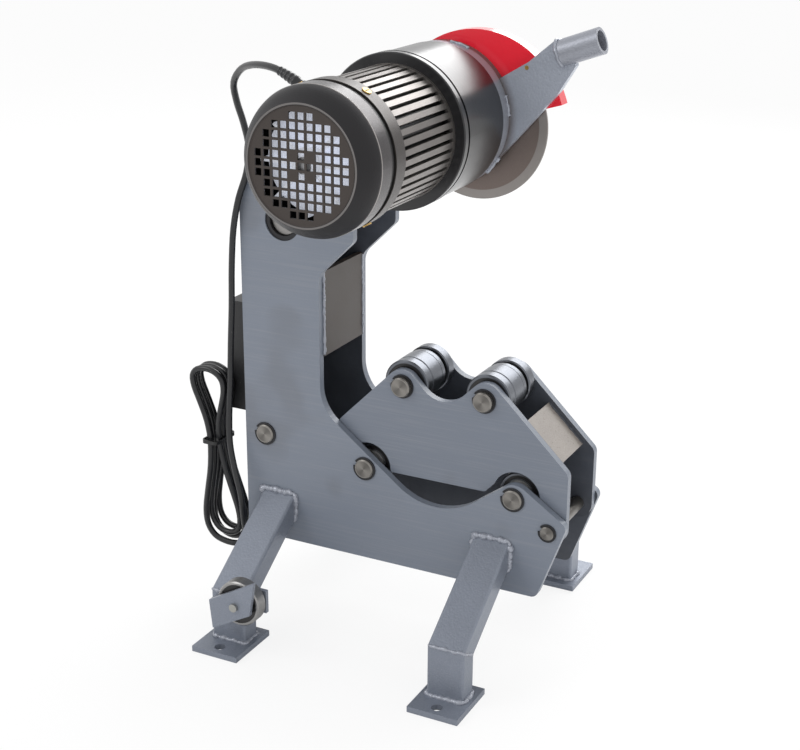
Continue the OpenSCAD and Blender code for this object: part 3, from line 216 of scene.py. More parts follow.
share = np.linspace(0, 1, RELIEF_RINGS)
reach = np.concatenate([[0], np.linalg.norm(np.diff(lead_line, axis=0), axis=1).cumsum()])
along_lead = RELIEF_INSET + RELIEF_L * share
motor_relief_line = np.stack([np.interp(along_lead, reach, lead_line[:, k]) for k in range(3)], 1)
box_reliefs = make_piece("box_strain_reliefs", [
    grid_faces(tube_points(
        np.array([BOX_GLAND_X, y, BOX_GLAND_Z - RELIEF_INSET]) - share[:, None] * [0, 0, RELIEF_L],
        relief_radius(share), [1, 0, 0], RELIEF_SIDES)) for y in BOX_GLAND_YS])
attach(box_reliefs, "frame")
motor_relief = make_piece("motor_strain_relief", [
    grid_faces(tube_points(motor_relief_line, relief_radius(share), [0, 1, 0], RELIEF_SIDES))])
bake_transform(motor_relief)

# Weld beads: where the legs meet the plates, the bends' mitres, the feet and the tie plates, and
# round the handle tube and the collar. A hand laid them, so they swell, ripple and wander.
WELD_STEP, WELD_RIPPLE, WELD_SIDES = 0.0007, 0.0024, 10
RIPPLE_SHARE, SWELL_SHARE, WANDER_SHARE = 0.2, 0.55, 0.35
SMOOTHED_OVER = 11
OBLIQUE = [0.3, 0.5, 0.8]


def weld(path, radius, closed=False, seed=0):
    """A bead along the path: its radius is the given one times 1 + 0.2 |sin| of the pool ripple,
    every 2.4 mm, plus smoothed random swelling. Its line wanders by smoothed random steps of
    about a third of the radius."""
    path = np.vstack([path, path[:1]]) if closed else np.asarray(path)
    reach = np.concatenate([[0], np.linalg.norm(np.diff(path, axis=0), axis=1).cumsum()])
    steps = max(8, int(reach[-1] / WELD_STEP))
    at = np.linspace(0, reach[-1], steps + 1)
    line = np.stack([np.interp(at, reach, path[:, k]) for k in range(3)], 1)
    if closed:
        line, at = line[:-1], at[:-1]
    chance = np.random.default_rng(seed).normal(size=(4, len(at)))
    kernel = np.hanning(SMOOTHED_OVER) / np.hanning(SMOOTHED_OVER).sum()
    wave = np.stack([np.convolve(np.pad(row, SMOOTHED_OVER // 2, mode="wrap"), kernel, "valid")
                     for row in chance])
    ripple = np.abs(np.sin(np.pi * at / WELD_RIPPLE))
    size = radius * (1 + RIPPLE_SHARE * ripple + SWELL_SHARE * wave[3])
    line = line + WANDER_SHARE * radius * wave[:3].T
    return grid_faces(tube_points(line, size, OBLIQUE, WELD_SIDES), close_u=closed)


def seam_box(middle, half_u, half_v, axis_u, axis_v, corner=0.003):
    """A rectangle with round corners about a middle point, its sides along two directions."""
    turns = np.radians(np.arange(0, 91, 30))
    points = []
    for quarter, (su, sv) in enumerate(((1, 1), (-1, 1), (-1, -1), (1, -1))):
        for a in turns + quarter * np.pi / 2:
            points.append(middle + axis_u * (su * (half_u - corner) + corner * np.cos(a))
                          + axis_v * (sv * (half_v - corner) + corner * np.sin(a)))
    return np.array(points)


# Each seam of the leg at +X and +Y: its middle's Y and Z, its half sizes, the bead's radius and
# its first seed. The mitre's run is from its upper edge to its lower one.
LEG_X = 0.120
MITRE_RUN = np.array([0, 0.024, 0.01271])
PLATE_SEAM = (0.0486, 0.1145, 0.0192, 0.0147, 0.0027, 9)
MITRE_SEAM = (0.139, 0.05265, 0.0186, np.linalg.norm(MITRE_RUN / 2) - 0.0004, 0.0013, 19)
FOOT_SEAM = (0.139, 0.0064, 0.0192, 0.0122, 0.0021, 29)
COLUMN_TIE_X, COLUMN_TIE_Y, COLUMN_TIE_ZS = -0.0692, 0.0395, (0.2835, 0.3675)
THIN_BEAD_R = 0.0013

x_way, y_way, z_way = np.eye(3)
beads = []
for side in (-1, 1):
    for face in (-1, 1):
        mitre_run = MITRE_RUN * [1, -face, -1] / 2
        for seam, second_way in ((PLATE_SEAM, z_way),
                                 (MITRE_SEAM, mitre_run / np.linalg.norm(mitre_run)),
                                 (FOOT_SEAM, y_way)):
            y, z, half_u, half_v, bead_r, seed = seam
            middle = np.array([LEG_X * side, face * y, z])
            beads.append(weld(seam_box(middle, half_u, half_v, x_way, second_way), bead_r,
                              closed=True, seed=seed + side + 5 * face))
for face in (-1, 1):
    beads.append(weld([[COLUMN_TIE_X, face * COLUMN_TIE_Y, z] for z in COLUMN_TIE_ZS],
                      THIN_BEAD_R, seed=40 + face))
frame_beads = make_piece("frame_weld_beads", beads)
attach(frame_beads, "frame")

# On the swing plate: a seam round the foot of the handle tube, and six tacks round the collar.
HANDLE_TILT = np.radians(20)
HANDLE_END, HANDLE_INSET, HANDLE_BEAD_RING = (0.1576, 0.006, 0.5911), 0.0079, 0.0122
COLLAR_TACKS, TACK_HALF = (12, 75, 140, 205, 262, 322), 8
COLLAR_BEAD_RING, COLLAR_BEAD_Y, COLLAR_BEAD_R = 0.0682, 0.0011, 0.0014

tube_way = np.array([np.cos(HANDLE_TILT), 0, np.sin(HANDLE_TILT)])
tube_side = np.array([-tube_way[2], 0, tube_way[0]])
tube_end = np.array(HANDLE_END) - HANDLE_INSET * tube_way
turns = np.radians(np.arange(0, 360, 10))[:, None]
tube_ring = HANDLE_BEAD_RING * (np.cos(turns) * y_way + np.sin(turns) * tube_side)
arm_beads = [weld(tube_end + tube_ring, THIN_BEAD_R, closed=True, seed=51)]
for middle in COLLAR_TACKS:
    arc = np.radians(np.arange(middle - TACK_HALF, middle + TACK_HALF + 1, 2))[:, None]
    outward = np.cos(arc) * x_way + np.sin(arc) * z_way
    arm_beads.append(weld(MOTOR + COLLAR_BEAD_Y * y_way + COLLAR_BEAD_RING * outward,
                          COLLAR_BEAD_R, seed=60 + middle))
head_beads = make_piece("arm_weld_beads", arm_beads)
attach(head_beads, "head")

# On the carriage: a seam along each side of its tie plate.
CARRIAGE_TIE_FROM, CARRIAGE_TIE_TO = (0.1423, 0, 0.2468), (0.1796, 0, 0.2104)
CARRIAGE_BEAD_Y, CARRIAGE_BEAD_INSET, CARRIAGE_BEAD_R = 0.0309, 0.0015, 0.0011

tie_from, tie_to = np.array(CARRIAGE_TIE_FROM), np.array(CARRIAGE_TIE_TO)
tie_inset = CARRIAGE_BEAD_INSET * ((tie_to - tie_from) / np.linalg.norm(tie_to - tie_from))
tie_beads = make_piece("carriage_weld_beads", [
    weld([tie_from + tie_inset + face * CARRIAGE_BEAD_Y * y_way,
          tie_to - tie_inset + face * CARRIAGE_BEAD_Y * y_way], CARRIAGE_BEAD_R, seed=80 + face)
    for face in (-1, 1)])
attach(tie_beads, "carriage")

# Slots in the screw heads of the box's lid and of the fan cover's rear ring, as dark inlays of
# painted shade.
LID_SLOT, COVER_SLOT = (0.0044, 0.0008, 0.0003), (0.0058, 0.0010, 0.0003)
LID_FACE_X, LID_SCREW_YS, LID_SCREW_ZS = -0.18945, (-0.023, 0.023), (0.207, 0.315)
COVER_SCREW_Y, COVER_SCREW_REACH, COVER_SCREWS = -0.204, 0.06395, (60, 120, 240, 300)


def inlay(middle, across, along, outward, size):
    """A thin box: size is its length, width and height along the three directions."""
    steps = np.array([[x, y, z] for x in (-1, 1) for y in (-1, 1) for z in (-1, 1)]) / 2 * size
    corners = middle + steps @ np.array([along, across, outward])
    return corners, [[0, 1, 3, 2], [4, 6, 7, 5], [0, 4, 5, 1], [2, 3, 7, 6], [0, 2, 6, 4],
                     [1, 5, 7, 3]]


lid_slots = make_piece("lid_screw_slots", [
    inlay(np.array([LID_FACE_X, y, z]), y_way, z_way, -x_way, LID_SLOT)
    for y in LID_SCREW_YS for z in LID_SCREW_ZS], smooth=False)
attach(lid_slots, "frame")
cover_slots = []
for bearing in np.radians(COVER_SCREWS):
    outward = np.array([np.cos(bearing), 0, np.sin(bearing)])
    cover_slots.append(inlay(MOTOR + COVER_SCREW_Y * y_way + COVER_SCREW_REACH * outward,
                             np.cross(y_way, outward), y_way, outward, COVER_SLOT))
cover_slots = make_piece("cover_screw_slots", cover_slots, smooth=False)
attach(cover_slots, "head")

# The cords' jacket: matt black rubber with fine cross ribs from the extruder and a little dust.
# The plug and the glands are the same moulded rubber, and the tie is smoother black nylon.
def linear(*srgb):
    """sRGB 0 to 255 made linear: the 2.4 power curve with its straight foot."""
    c = np.array(srgb, float) / 255
    return tuple(np.where(c <= 0.04045, c / 12.92, ((c + 0.055) / 1.055) ** 2.4)) + (1.0,)


MIX_FACTOR, MIX_A, MIX_B, MIX_RESULT = "Factor", 6, 7, 2
SOCKETS = {"f": "NodeSocketFloat", "c": "NodeSocketColor", "v": "NodeSocketVector"}


class Wiring:
    """Places nodes in a tree and joins their sockets by name."""

    def __init__(self, tree):
        self.tree = tree

    def node(self, kind, values=None, **settings):
        made = self.tree.nodes.new(kind)
        for key, value in settings.items():
            setattr(made, key, value)
        for key, value in (values or {}).items():
            self.feed(value, made.inputs[key])
        return made

    def feed(self, value, socket):
        if isinstance(value, bpy.types.NodeSocket):
            self.tree.links.new(value, socket)
        else:
            socket.default_value = value

    def maths(self, operation, a, b=0.0, c=0.0):
        return self.node("ShaderNodeMath", {0: a, 1: b, 2: c}, operation=operation).outputs[0]

    def noise(self, vector, scale, detail=2.0, rough=0.5):
        return self.node("ShaderNodeTexNoise", {"Vector": vector, "Scale": scale,
                         "Detail": detail, "Roughness": rough}).outputs["Fac"]

    def band(self, value, low, high):
        """0 below low, 1 above high, and a smooth step between."""
        made = self.node("ShaderNodeMapRange", {"Value": value, "From Min": low,
                         "From Max": high}, interpolation_type="SMOOTHSTEP")
        return made.outputs["Result"]

    def blend(self, share, a, b):
        made = self.node("ShaderNodeMix", data_type="RGBA")
        self.feed(share, made.inputs[MIX_FACTOR])
        self.feed(a, made.inputs[MIX_A])
        self.feed(b, made.inputs[MIX_B])
        return made.outputs[MIX_RESULT]


def new_group(name, inputs, outputs):
    """An empty node group with the named float, colour and vector sockets: returns it with its
    wiring, the sockets of what is given to it and the ones of what it puts out."""
    group = bpy.data.node_groups.new(name, "ShaderNodeTree")
    for way, sockets in (("INPUT", inputs), ("OUTPUT", outputs)):
        for key, kind in sockets.items():
            group.interface.new_socket(key, in_out=way, socket_type=SOCKETS[kind])
    wiring = Wiring(group)
    given = wiring.node("NodeGroupInput").outputs
    return group, wiring, given, wiring.node("NodeGroupOutput").inputs


# Cloud and grain: every coat here is a little uneven. Broad clouds and a fine grain lighten and
# darken the colour and the roughness, and pale specks of dust lie on it.
DUST_SIZE, DUST_BAND, DUST_COLOUR, DUST_ROUGH = 900.0, (0.74, 0.84), (0.6, 0.58, 0.55, 1), 0.3

coat, w, given, put = new_group(
    "uneven_coat",
    {"Colour": "c", "Cloud size": "f", "Cloud": "f", "Grain size": "f", "Grain": "f",
     "Dust": "f", "Roughness": "f", "Roughness spread": "f"},
    {"Colour": "c", "Roughness": "f", "Height": "f"})
place = w.node("ShaderNodeTexCoord").outputs["Object"]
cloud = w.noise(place, given["Cloud size"], 4.0, 0.6)
grain = w.noise(place, given["Grain size"], 2.0, 0.6)
shade = w.maths("MULTIPLY_ADD", w.maths("SUBTRACT", cloud, 0.5), given["Cloud"], 1.0)
shade = w.maths("MULTIPLY_ADD", w.maths("SUBTRACT", grain, 0.5), given["Grain"], shade)
toned = w.node("ShaderNodeVectorMath", {0: given["Colour"]}, operation="SCALE")
w.feed(shade, toned.inputs["Scale"])
dust = w.maths("MULTIPLY", w.band(w.noise(place, DUST_SIZE, 1.0), *DUST_BAND), given["Dust"])
w.feed(w.blend(dust, toned.outputs[0], DUST_COLOUR), put["Colour"])
rough = w.maths("MULTIPLY_ADD", w.maths("SUBTRACT", cloud, 0.5), given["Roughness spread"],
                given["Roughness"])
w.feed(w.maths("ADD", rough, w.maths("MULTIPLY", dust, DUST_ROUGH)), put["Roughness"])
w.feed(grain, put["Height"])


def finish(name, colour, roughness, metallic=0.0, cloud=(14.0, 0.25), grain=(700.0, 0.15),
           dust=0.25, spread=0.12, bump=0.05, depth=0.0002, coat_weight=0.0, coat_rough=0.1):
    """A Principled material fed by the uneven coat, with its bump node named raised; returns it
    with its wiring, its shader and the coat's colour, roughness and height sockets."""
    made = bpy.data.materials.new(name)
    made.use_nodes = True
    made.diffuse_color = colour
    wires = Wiring(made.node_tree)
    shader = made.node_tree.nodes["Principled BSDF"]
    shader.inputs["Metallic"].default_value = metallic
    shader.inputs["Coat Weight"].default_value = coat_weight
    shader.inputs["Coat Roughness"].default_value = coat_rough
    layer = wires.node("ShaderNodeGroup", node_tree=coat)
    for key, value in {"Colour": colour, "Cloud size": cloud[0], "Cloud": cloud[1],
                       "Grain size": grain[0], "Grain": grain[1], "Dust": dust,
                       "Roughness": roughness, "Roughness spread": spread}.items():
        wires.feed(value, layer.inputs[key])
    wires.feed(layer.outputs["Colour"], shader.inputs["Base Color"])
    wires.feed(layer.outputs["Roughness"], shader.inputs["Roughness"])
    raised = wires.node("ShaderNodeBump", {"Height": layer.outputs["Height"],
                        "Strength": bump, "Distance": depth})
    wires.feed(raised.outputs["Normal"], shader.inputs["Normal"])
    raised.name = "raised"
    return made, wires, shader, layer.outputs


def wear(material, *names):
    """The CAD nodes' material slots all take this material."""
    for name in names:
        slots = nodes[name].data.materials
        slots.clear()
        slots.append(material)


rubber, *_ = finish("black_rubber_jacket", linear(22, 23, 26), 0.30, grain=(1500.0, 0.3),
                    dust=0.35, bump=0.12)
for piece in (supply_cord, motor_lead, box_reliefs, motor_relief):
    piece.data.materials.append(rubber)
# The slots' dark inlays: painted shade in the slots.
slot_shade, *_ = finish("slot_shadow", linear(16, 15, 14), 0.7)
for piece in (lid_slots, cover_slots):
    piece.data.materials.append(slot_shade)
moulded, *_ = finish("moulded_rubber", linear(22, 22, 24), 0.5, grain=(1200.0, 0.3), bump=0.15)
wear(moulded, "plug", "cable_glands", "motor_gland")
nylon, *_ = finish("black_nylon", linear(18, 18, 19), 0.35, dust=0.1)
wear(nylon, "hank_tie")

# The frame: two laser-cut 8 mm side plates, the column's back strip and the carriage's plates,
# brushed with satin blue-grey paint that dried in fine level strokes. Their inner faces carry a
# mottled painted shade, and the paint is handled dull in broad soft patches.
INNER_SHADE, SMEAR, STROKE = linear(52, 54, 60), linear(88, 86, 86), linear(138, 141, 147)
SMEAR_BAND, SMEAR_SHARE = (0.60, 0.72), 0.22
STROKE_STRETCH, STROKE_BAND, STROKE_SHARE = (0.02, 1.0, 1.0), (0.45, 0.75), 0.3
PLATE_BLUE_GREY, CARRIAGE_BLUE_GREY = linear(117, 124, 136), linear(112, 119, 131)
FRAME_INNER_Y, CARRIAGE_INNER_Y, STRIP_FACE_X = 0.0403, 0.0313, -0.1535


def plate_coat(name, colour, inner, behind=-1.0):
    """Plate paint with painted shade on the faces nearer the middle plane than the inner distance,
    as long as they lie in front of the plane named."""
    made, wires, shader, layer = finish(name, colour, 0.40, cloud=(9.0, 0.14),
                                        grain=(1100.0, 0.12), dust=0.12, spread=0.18, bump=0.10)
    place = wires.node("ShaderNodeTexCoord").outputs["Object"]
    parts = wires.node("ShaderNodeSeparateXYZ", {"Vector": place}).outputs
    inside = wires.maths("MULTIPLY", wires.maths("LESS_THAN", wires.maths("ABSOLUTE", parts["Y"]),
                                                 inner),
                         wires.maths("GREATER_THAN", parts["X"], behind))
    # Painted shade: the inner faces are darkened towards the shade colour, mottled by noise.
    inner_shade = wires.maths("MULTIPLY", inside, wires.maths(
        "MULTIPLY_ADD", wires.noise(place, 22.0, 4.0, 0.6), 0.5, 0.5))
    smear = wires.maths("MULTIPLY", wires.band(wires.noise(place, 13.0, 2.0, 0.4), *SMEAR_BAND),
                        SMEAR_SHARE)
    drawn = wires.node("ShaderNodeVectorMath", {0: place, 1: STROKE_STRETCH},
                       operation="MULTIPLY").outputs[0]
    strokes = wires.maths("MULTIPLY", wires.band(wires.noise(drawn, 700.0, 2.0, 0.6),
                                                 *STROKE_BAND), STROKE_SHARE)
    toned = wires.blend(strokes, layer["Colour"], STROKE)
    toned = wires.blend(smear, toned, SMEAR)
    wires.feed(wires.blend(inner_shade, toned, INNER_SHADE), shader.inputs["Base Color"])
    return made


plate_paint = plate_coat("blue_grey_paint", PLATE_BLUE_GREY, FRAME_INNER_Y)
wear(plate_paint, "front_side_plate", "rear_side_plate")
strip_paint = plate_coat("strip_blue_grey", PLATE_BLUE_GREY, FRAME_INNER_Y, STRIP_FACE_X)
wear(strip_paint, "column_back_strip")
carriage_paint = plate_coat("carriage_blue_grey", CARRIAGE_BLUE_GREY, CARRIAGE_INNER_Y)
wear(carriage_paint, "carriage_front_plate", "carriage_rear_plate")

# The tie plates in the column and on the carriage: bare plate under a thin brown-grey wash, with
# the mill's speckle showing through.
PIT_SIZE, PIT_BAND, PIT_SHARE = 420.0, (0.60, 0.68), 0.55


def speckled(name, colour, fleck):
    """A wash over mill scale: fine dark pits and broad stains over the given colour."""
    made, wires, shader, layer = finish(name, colour, 0.46, cloud=(40.0, 0.35),
                                        grain=(900.0, 0.6), dust=0.35, bump=0.2)
    place = wires.node("ShaderNodeTexCoord").outputs["Object"]
    pits = wires.band(wires.noise(place, PIT_SIZE, 3.0, 0.7), *PIT_BAND)
    wires.feed(wires.blend(wires.maths("MULTIPLY", pits, PIT_SHARE), layer["Colour"], fleck),
               shader.inputs["Base Color"])
    return made


tie_wash = speckled("brown_grey_wash", linear(56, 48, 43), linear(35, 30, 27))
wear(tie_wash, "column_tie_plate")
pale_wash = speckled("pale_grey_wash", linear(146, 139, 133), linear(92, 84, 78))
wear(pale_wash, "carriage_tie_plate")

# The legs, feet, swing plate, collar and handle: steel under thick silver hammer paint, whose
# surface dries into small shallow dimples, with fine glints of light painted into its colour.
DIMPLE_SIZE, DIMPLE_BAND, DIMPLE_DEPTH = 420.0, (0.1, 0.7), 0.0004
GLINT_SIZE, GLINT_BAND, GLINT_SHARE, GLINT = 2600.0, (0.55, 0.8), 0.35, (0.55, 0.57, 0.60, 1)

hammer, w, given, put = new_group("hammer_dimples", {"Size": "f"}, {"Height": "f", "Glint": "f"})
place = w.node("ShaderNodeTexCoord").outputs["Object"]
cells = w.node("ShaderNodeTexVoronoi", {"Vector": place, "Scale": given["Size"]},
               feature="SMOOTH_F1")
cells.inputs["Smoothness"].default_value = 0.6
w.feed(w.band(cells.outputs["Distance"], *DIMPLE_BAND), put["Height"])
w.feed(w.band(w.noise(place, GLINT_SIZE, 1.0), *GLINT_BAND), put["Glint"])


def hammered(name, colour, roughness=0.36, strength=0.22):
    """Hammer paint: the uneven coat with the dimples' height and painted glints of light; returns
    the colour with the painted glints last."""
    made, wires, shader, layer = finish(name, colour, roughness, metallic=0.35,
                                        cloud=(25.0, 0.22), grain=(800.0, 0.22), dust=0.3)
    dimples = wires.node("ShaderNodeGroup", {"Size": DIMPLE_SIZE}, node_tree=hammer)
    # Painted glints: fine specks of the colour are lightened towards the glint colour.
    painted_glint_colour = wires.blend(wires.maths("MULTIPLY", dimples.outputs["Glint"], GLINT_SHARE),
                          layer["Colour"], GLINT)
    wires.feed(painted_glint_colour, shader.inputs["Base Color"])
    raised = made.node_tree.nodes["raised"]
    wires.feed(dimples.outputs["Height"], raised.inputs["Height"])
    raised.inputs["Strength"].default_value = strength
    raised.inputs["Distance"].default_value = DIMPLE_DEPTH
    return made, wires, shader, painted_glint_colour


silver, *_ = hammered("silver_hammer_paint", linear(126, 132, 144))
wear(silver, "legs", "foot_plates", "wheel_brackets")
light_silver, *_ = hammered("bright_hammer_paint", linear(146, 149, 158))
wear(light_silver, "handle_tube", "clamp_collar", "pivot_hub")

# The weld beads lie under the same paint, painted lighter all over to stand for their highlights.
# The carriage's own lie under its plates' blue-grey paint.
bead_highlight_paint, *_ = hammered("bead_hammer_paint", linear(152, 156, 166), 0.28)
for piece, coat_over in ((frame_beads, bead_highlight_paint), (head_beads, bead_highlight_paint),
                         (tie_beads, carriage_paint)):
    piece.data.materials.append(coat_over)

# Pins, shafts, bolts and gears: turned steel. The tool leaves fine rings round each axis, and the
# group gives them for an axis along Y through the point named.
TURNED_SIZE, TURNED_BUMP, TURNED_ROUGH = 2600.0, 0.35, 0.12

turned_marks, w, given, put = new_group("turned_marks", {"Axis": "v"},
                                        {"Radius": "f", "Marks": "f"})
place = w.node("ShaderNodeTexCoord").outputs["Object"]
offset = w.node("ShaderNodeVectorMath", {0: place, 1: given["Axis"]},
                operation="SUBTRACT").outputs[0]
flat_offset = w.node("ShaderNodeVectorMath", {0: offset, 1: (1, 0, 1)}, operation="MULTIPLY")
radius = w.node("ShaderNodeVectorMath", {0: flat_offset.outputs[0]},
                operation="LENGTH").outputs["Value"]
parts = w.node("ShaderNodeSeparateXYZ", {"Vector": offset})
ring_place = w.node("ShaderNodeCombineXYZ", {"X": radius, "Y": parts.outputs["Y"]}).outputs[0]
w.feed(radius, put["Radius"])
w.feed(w.noise(ring_place, TURNED_SIZE, 3.0, 0.7), put["Marks"])


def turned_steel(name, colour, roughness, axes=((0, 0, 0),), metallic=0.9, **more):
    """Bright steel with turned rings about the nearest of the axes; returns the radius too."""
    made, wires, shader, layer = finish(name, colour, roughness, metallic=metallic, **more)
    rings = [wires.node("ShaderNodeGroup", {"Axis": axis}, node_tree=turned_marks).outputs
             for axis in axes]
    radius, marks = rings[0]["Radius"], rings[0]["Marks"]
    for ring in rings[1:]:
        nearer = wires.maths("LESS_THAN", ring["Radius"], radius)
        marks = wires.maths("ADD", wires.maths("MULTIPLY", nearer, ring["Marks"]),
                            wires.maths("MULTIPLY", wires.maths("SUBTRACT", 1.0, nearer), marks))
        radius = wires.maths("MINIMUM", radius, ring["Radius"])
    raised = made.node_tree.nodes["raised"]
    wires.feed(marks, raised.inputs["Height"])
    raised.inputs["Strength"].default_value = TURNED_BUMP
    wires.feed(wires.maths("MULTIPLY_ADD", marks, TURNED_ROUGH, layer["Roughness"]),
               shader.inputs["Roughness"])
    return made, wires, shader, layer, radius


PINS = ((-0.135, 0, 0.190), (-0.020, 0, 0.174), (0.140, 0, 0.174), (0.1766, 0, 0.147))
CARRIAGE_PINS = ((0.017, 0, 0.265), (0.104, 0, 0.265))
PIVOT = (-0.110, 0, 0.416)
WHEEL = (-0.0975, 0, 0.059)
CLUSTER = (0.055779, 0, 0.552411)
OUTPUT = (0.066989, 0, 0.515971)
PIN_BEVEL, BEVEL_BLEND, BEVEL_HIGHLIGHT = 0.0082, 0.0003, 0.35
BOW_TURN, BOW_HIGHLIGHT = 1.3, 0.3


def faced_pins(name, axes):
    """Turned pins with a painted bow-tie highlight on their ends, by the cosine of twice the angle
    round the nearest axis inside the bevel, and a painted highlight from the bevel out; no bow-tie
    on the flanks."""
    made, wires, shader, layer, radius = turned_steel(name, linear(116, 113, 109), 0.3, axes)
    place = wires.node("ShaderNodeTexCoord").outputs["Object"]
    bow_tie_highlight = None
    for axis in axes:
        parts = wires.node("ShaderNodeSeparateXYZ", {"Vector": wires.node(
            "ShaderNodeVectorMath", {0: place, 1: axis}, operation="SUBTRACT").outputs[0]})
        angle = wires.maths("ARCTAN2", parts.outputs["Z"], parts.outputs["X"])
        wave = wires.maths("COSINE", wires.maths("MULTIPLY_ADD", angle, 2.0, BOW_TURN))
        reach = wires.maths("SQRT", wires.maths(
            "ADD", wires.maths("MULTIPLY", parts.outputs["X"], parts.outputs["X"]),
            wires.maths("MULTIPLY", parts.outputs["Z"], parts.outputs["Z"])))
        near = wires.maths("LESS_THAN", reach, PIN_BEVEL)
        share = wires.maths("MULTIPLY", near, wires.maths("MULTIPLY", wave, BOW_HIGHLIGHT))
        bow_tie_highlight = share if bow_tie_highlight is None else wires.maths("ADD", bow_tie_highlight, share)
    # Painted highlight: lightened from the bevel's radius outwards, standing for the chamfer
    # catching light.
    bevel_highlight = wires.maths("MULTIPLY", wires.band(radius, PIN_BEVEL, PIN_BEVEL + BEVEL_BLEND),
                        BEVEL_HIGHLIGHT)
    lit = wires.node("ShaderNodeVectorMath", {0: layer["Colour"]}, operation="SCALE")
    wires.feed(wires.maths("ADD", wires.maths("ADD", bow_tie_highlight, 1.0), bevel_highlight), lit.inputs["Scale"])
    wires.feed(lit.outputs[0], shader.inputs["Base Color"])
    return made


wear(faced_pins("turned_pin_steel", PINS), "spring_anchor_shaft", "frame_shafts")
wear(faced_pins("turned_carriage_pins", CARRIAGE_PINS), "upper_roller_shafts")
pivot_steel, *_ = turned_steel("turned_pivot_steel", linear(140, 138, 136), 0.3, (PIVOT,))
wear(pivot_steel, "head_pivot_shaft")
gear_steel, *_ = turned_steel("cut_gear_steel", linear(170, 168, 164), 0.25, (CLUSTER, OUTPUT))
wear(gear_steel, "cluster_gear", "blade_spindle", "blade_nut")
rotor_steel, *_ = turned_steel("rotor_steel", linear(150, 150, 152), 0.35, (tuple(MOTOR),))
wear(rotor_steel, "rotor", "shaft_bearings")
bolt_steel, *_ = turned_steel("zinc_bolt_steel", linear(165, 165, 160), 0.3, (WHEEL,))
wear(bolt_steel, "wheel_axle_bolts", "switch_lid_screws")
spring_steel, *_ = finish("oiled_spring_wire", linear(150, 148, 144), 0.3, metallic=0.9)
wear(spring_steel, "balance_spring")

# The swing plate: the same hammer paint, painted brown and darker round the motor and the blade as
# shade and the housing's brown reflection, and still silver further out along the arm.
MOTOR_SHADE_BAND = (0.066, 0.078)

arm_paint, wires, shader, painted_glint_colour = hammered("handled_hammer_paint", linear(160, 166, 178))
ring = wires.node("ShaderNodeGroup", {"Axis": tuple(MOTOR)}, node_tree=turned_marks)
motor_shade = wires.maths("SUBTRACT", 1.0, wires.band(ring.outputs["Radius"], *MOTOR_SHADE_BAND))
wires.feed(wires.blend(motor_shade, painted_glint_colour, linear(98, 90, 87)), shader.inputs["Base Color"])
wear(arm_paint, "swing_plate")

# The clips on the pins and the pivot's bushes: blackened steel, alike on both.
blackened, *_ = finish("blackened_steel", linear(46, 46, 48), 0.4, metallic=0.6,
                       grain=(1500.0, 0.4), dust=0.2)
wear(blackened, "frame_clips", "carriage_clips", "pivot_bushes")

# Rollers and transport wheels: ball-race rings with ground rims and black rubber shields. The
# shield runs from the inner ring out to 3 mm below the rim, and the faces take their finish from
# their distance to the axis.
SHIELD_FROM, SHIELD_BELOW_RIM, SHIELD_BLEND = 0.0143, 0.0034, 0.0003
LOWER_RACE_R, UPPER_RACE_R = 0.021, 0.0235
RACE_STEEL, WHEEL_STEEL = linear(108, 111, 117), linear(150, 149, 148)
SHIELD_BLACK, SHIELD_METAL, RACE_METAL = linear(34, 33, 34), 0.05, 0.95


def race_ring(name, axis, outer, steel):
    """A ring's finish by its radius from the axis: bright rim, dark shield, bright inner ring."""
    made, wires, shader, layer, radius = turned_steel(name, steel, 0.28, (axis,),
                                                      metallic=RACE_METAL, dust=0.2)
    shield_to = outer - SHIELD_BELOW_RIM
    shield = wires.maths(
        "MULTIPLY", wires.band(radius, SHIELD_FROM, SHIELD_FROM + SHIELD_BLEND),
        wires.maths("SUBTRACT", 1.0, wires.band(radius, shield_to, shield_to + SHIELD_BLEND)))
    wires.feed(wires.blend(shield, layer["Colour"], SHIELD_BLACK),
               shader.inputs["Base Color"])
    wires.feed(wires.maths("MULTIPLY_ADD", shield, SHIELD_METAL - RACE_METAL, RACE_METAL),
               shader.inputs["Metallic"])
    return made


for name, axis, outer in (("lower_left_roller", PINS[1], LOWER_RACE_R),
                          ("lower_right_roller", PINS[2], LOWER_RACE_R),
                          ("upper_left_roller", CARRIAGE_PINS[0], UPPER_RACE_R),
                          ("upper_right_roller", CARRIAGE_PINS[1], UPPER_RACE_R)):
    wear(race_ring(f"ground_race_{name}", axis, outer, RACE_STEEL), name)
wheel_race = race_ring("ground_race_wheel", WHEEL, UPPER_RACE_R, WHEEL_STEEL)
wear(wheel_race, "front_transport_wheel", "rear_transport_wheel")
inner_steel, *_ = turned_steel("inner_ring_steel", linear(150, 150, 150), 0.3,
                               PINS[1:3] + CARRIAGE_PINS)
wear(inner_steel, "lower_inner_rings", "upper_inner_rings")

# The gear housing and its end shield: cast aluminium under thick gloss black enamel that has
# sagged a little, so that its reflections waver.
enamel, *_ = finish("gloss_black_enamel", linear(19, 19, 22), 0.32, cloud=(30.0, 0.2),
                    grain=(260.0, 0.15), dust=0.2, bump=0.08, depth=0.0006, coat_weight=0.24,
                    coat_rough=0.22)
wear(enamel, "gear_housing", "end_shield")

# The fan cover: pressed sheet, its finish by the distance to the motor's axis. The grille's face
# is a thin brown-black coat, the slope round it is matt black, and the band and the rolled edges
# are lightened as painted highlights.
SLOPE_R, FACE_R, BEAD_R, RIM_Y = (0.0622, 0.0628), (0.0486, 0.0490), 0.0500, -0.2363
SLOPE_BLACK, FACE_BROWN, EDGE_HIGHLIGHT = linear(38, 37, 39), linear(66, 60, 57), linear(150, 146, 144)
BEAD_HALF, RIM_HALF, BEAD_SHARE, SLOPE_ROUGH = 0.0008, 0.0005, 0.5, 0.18

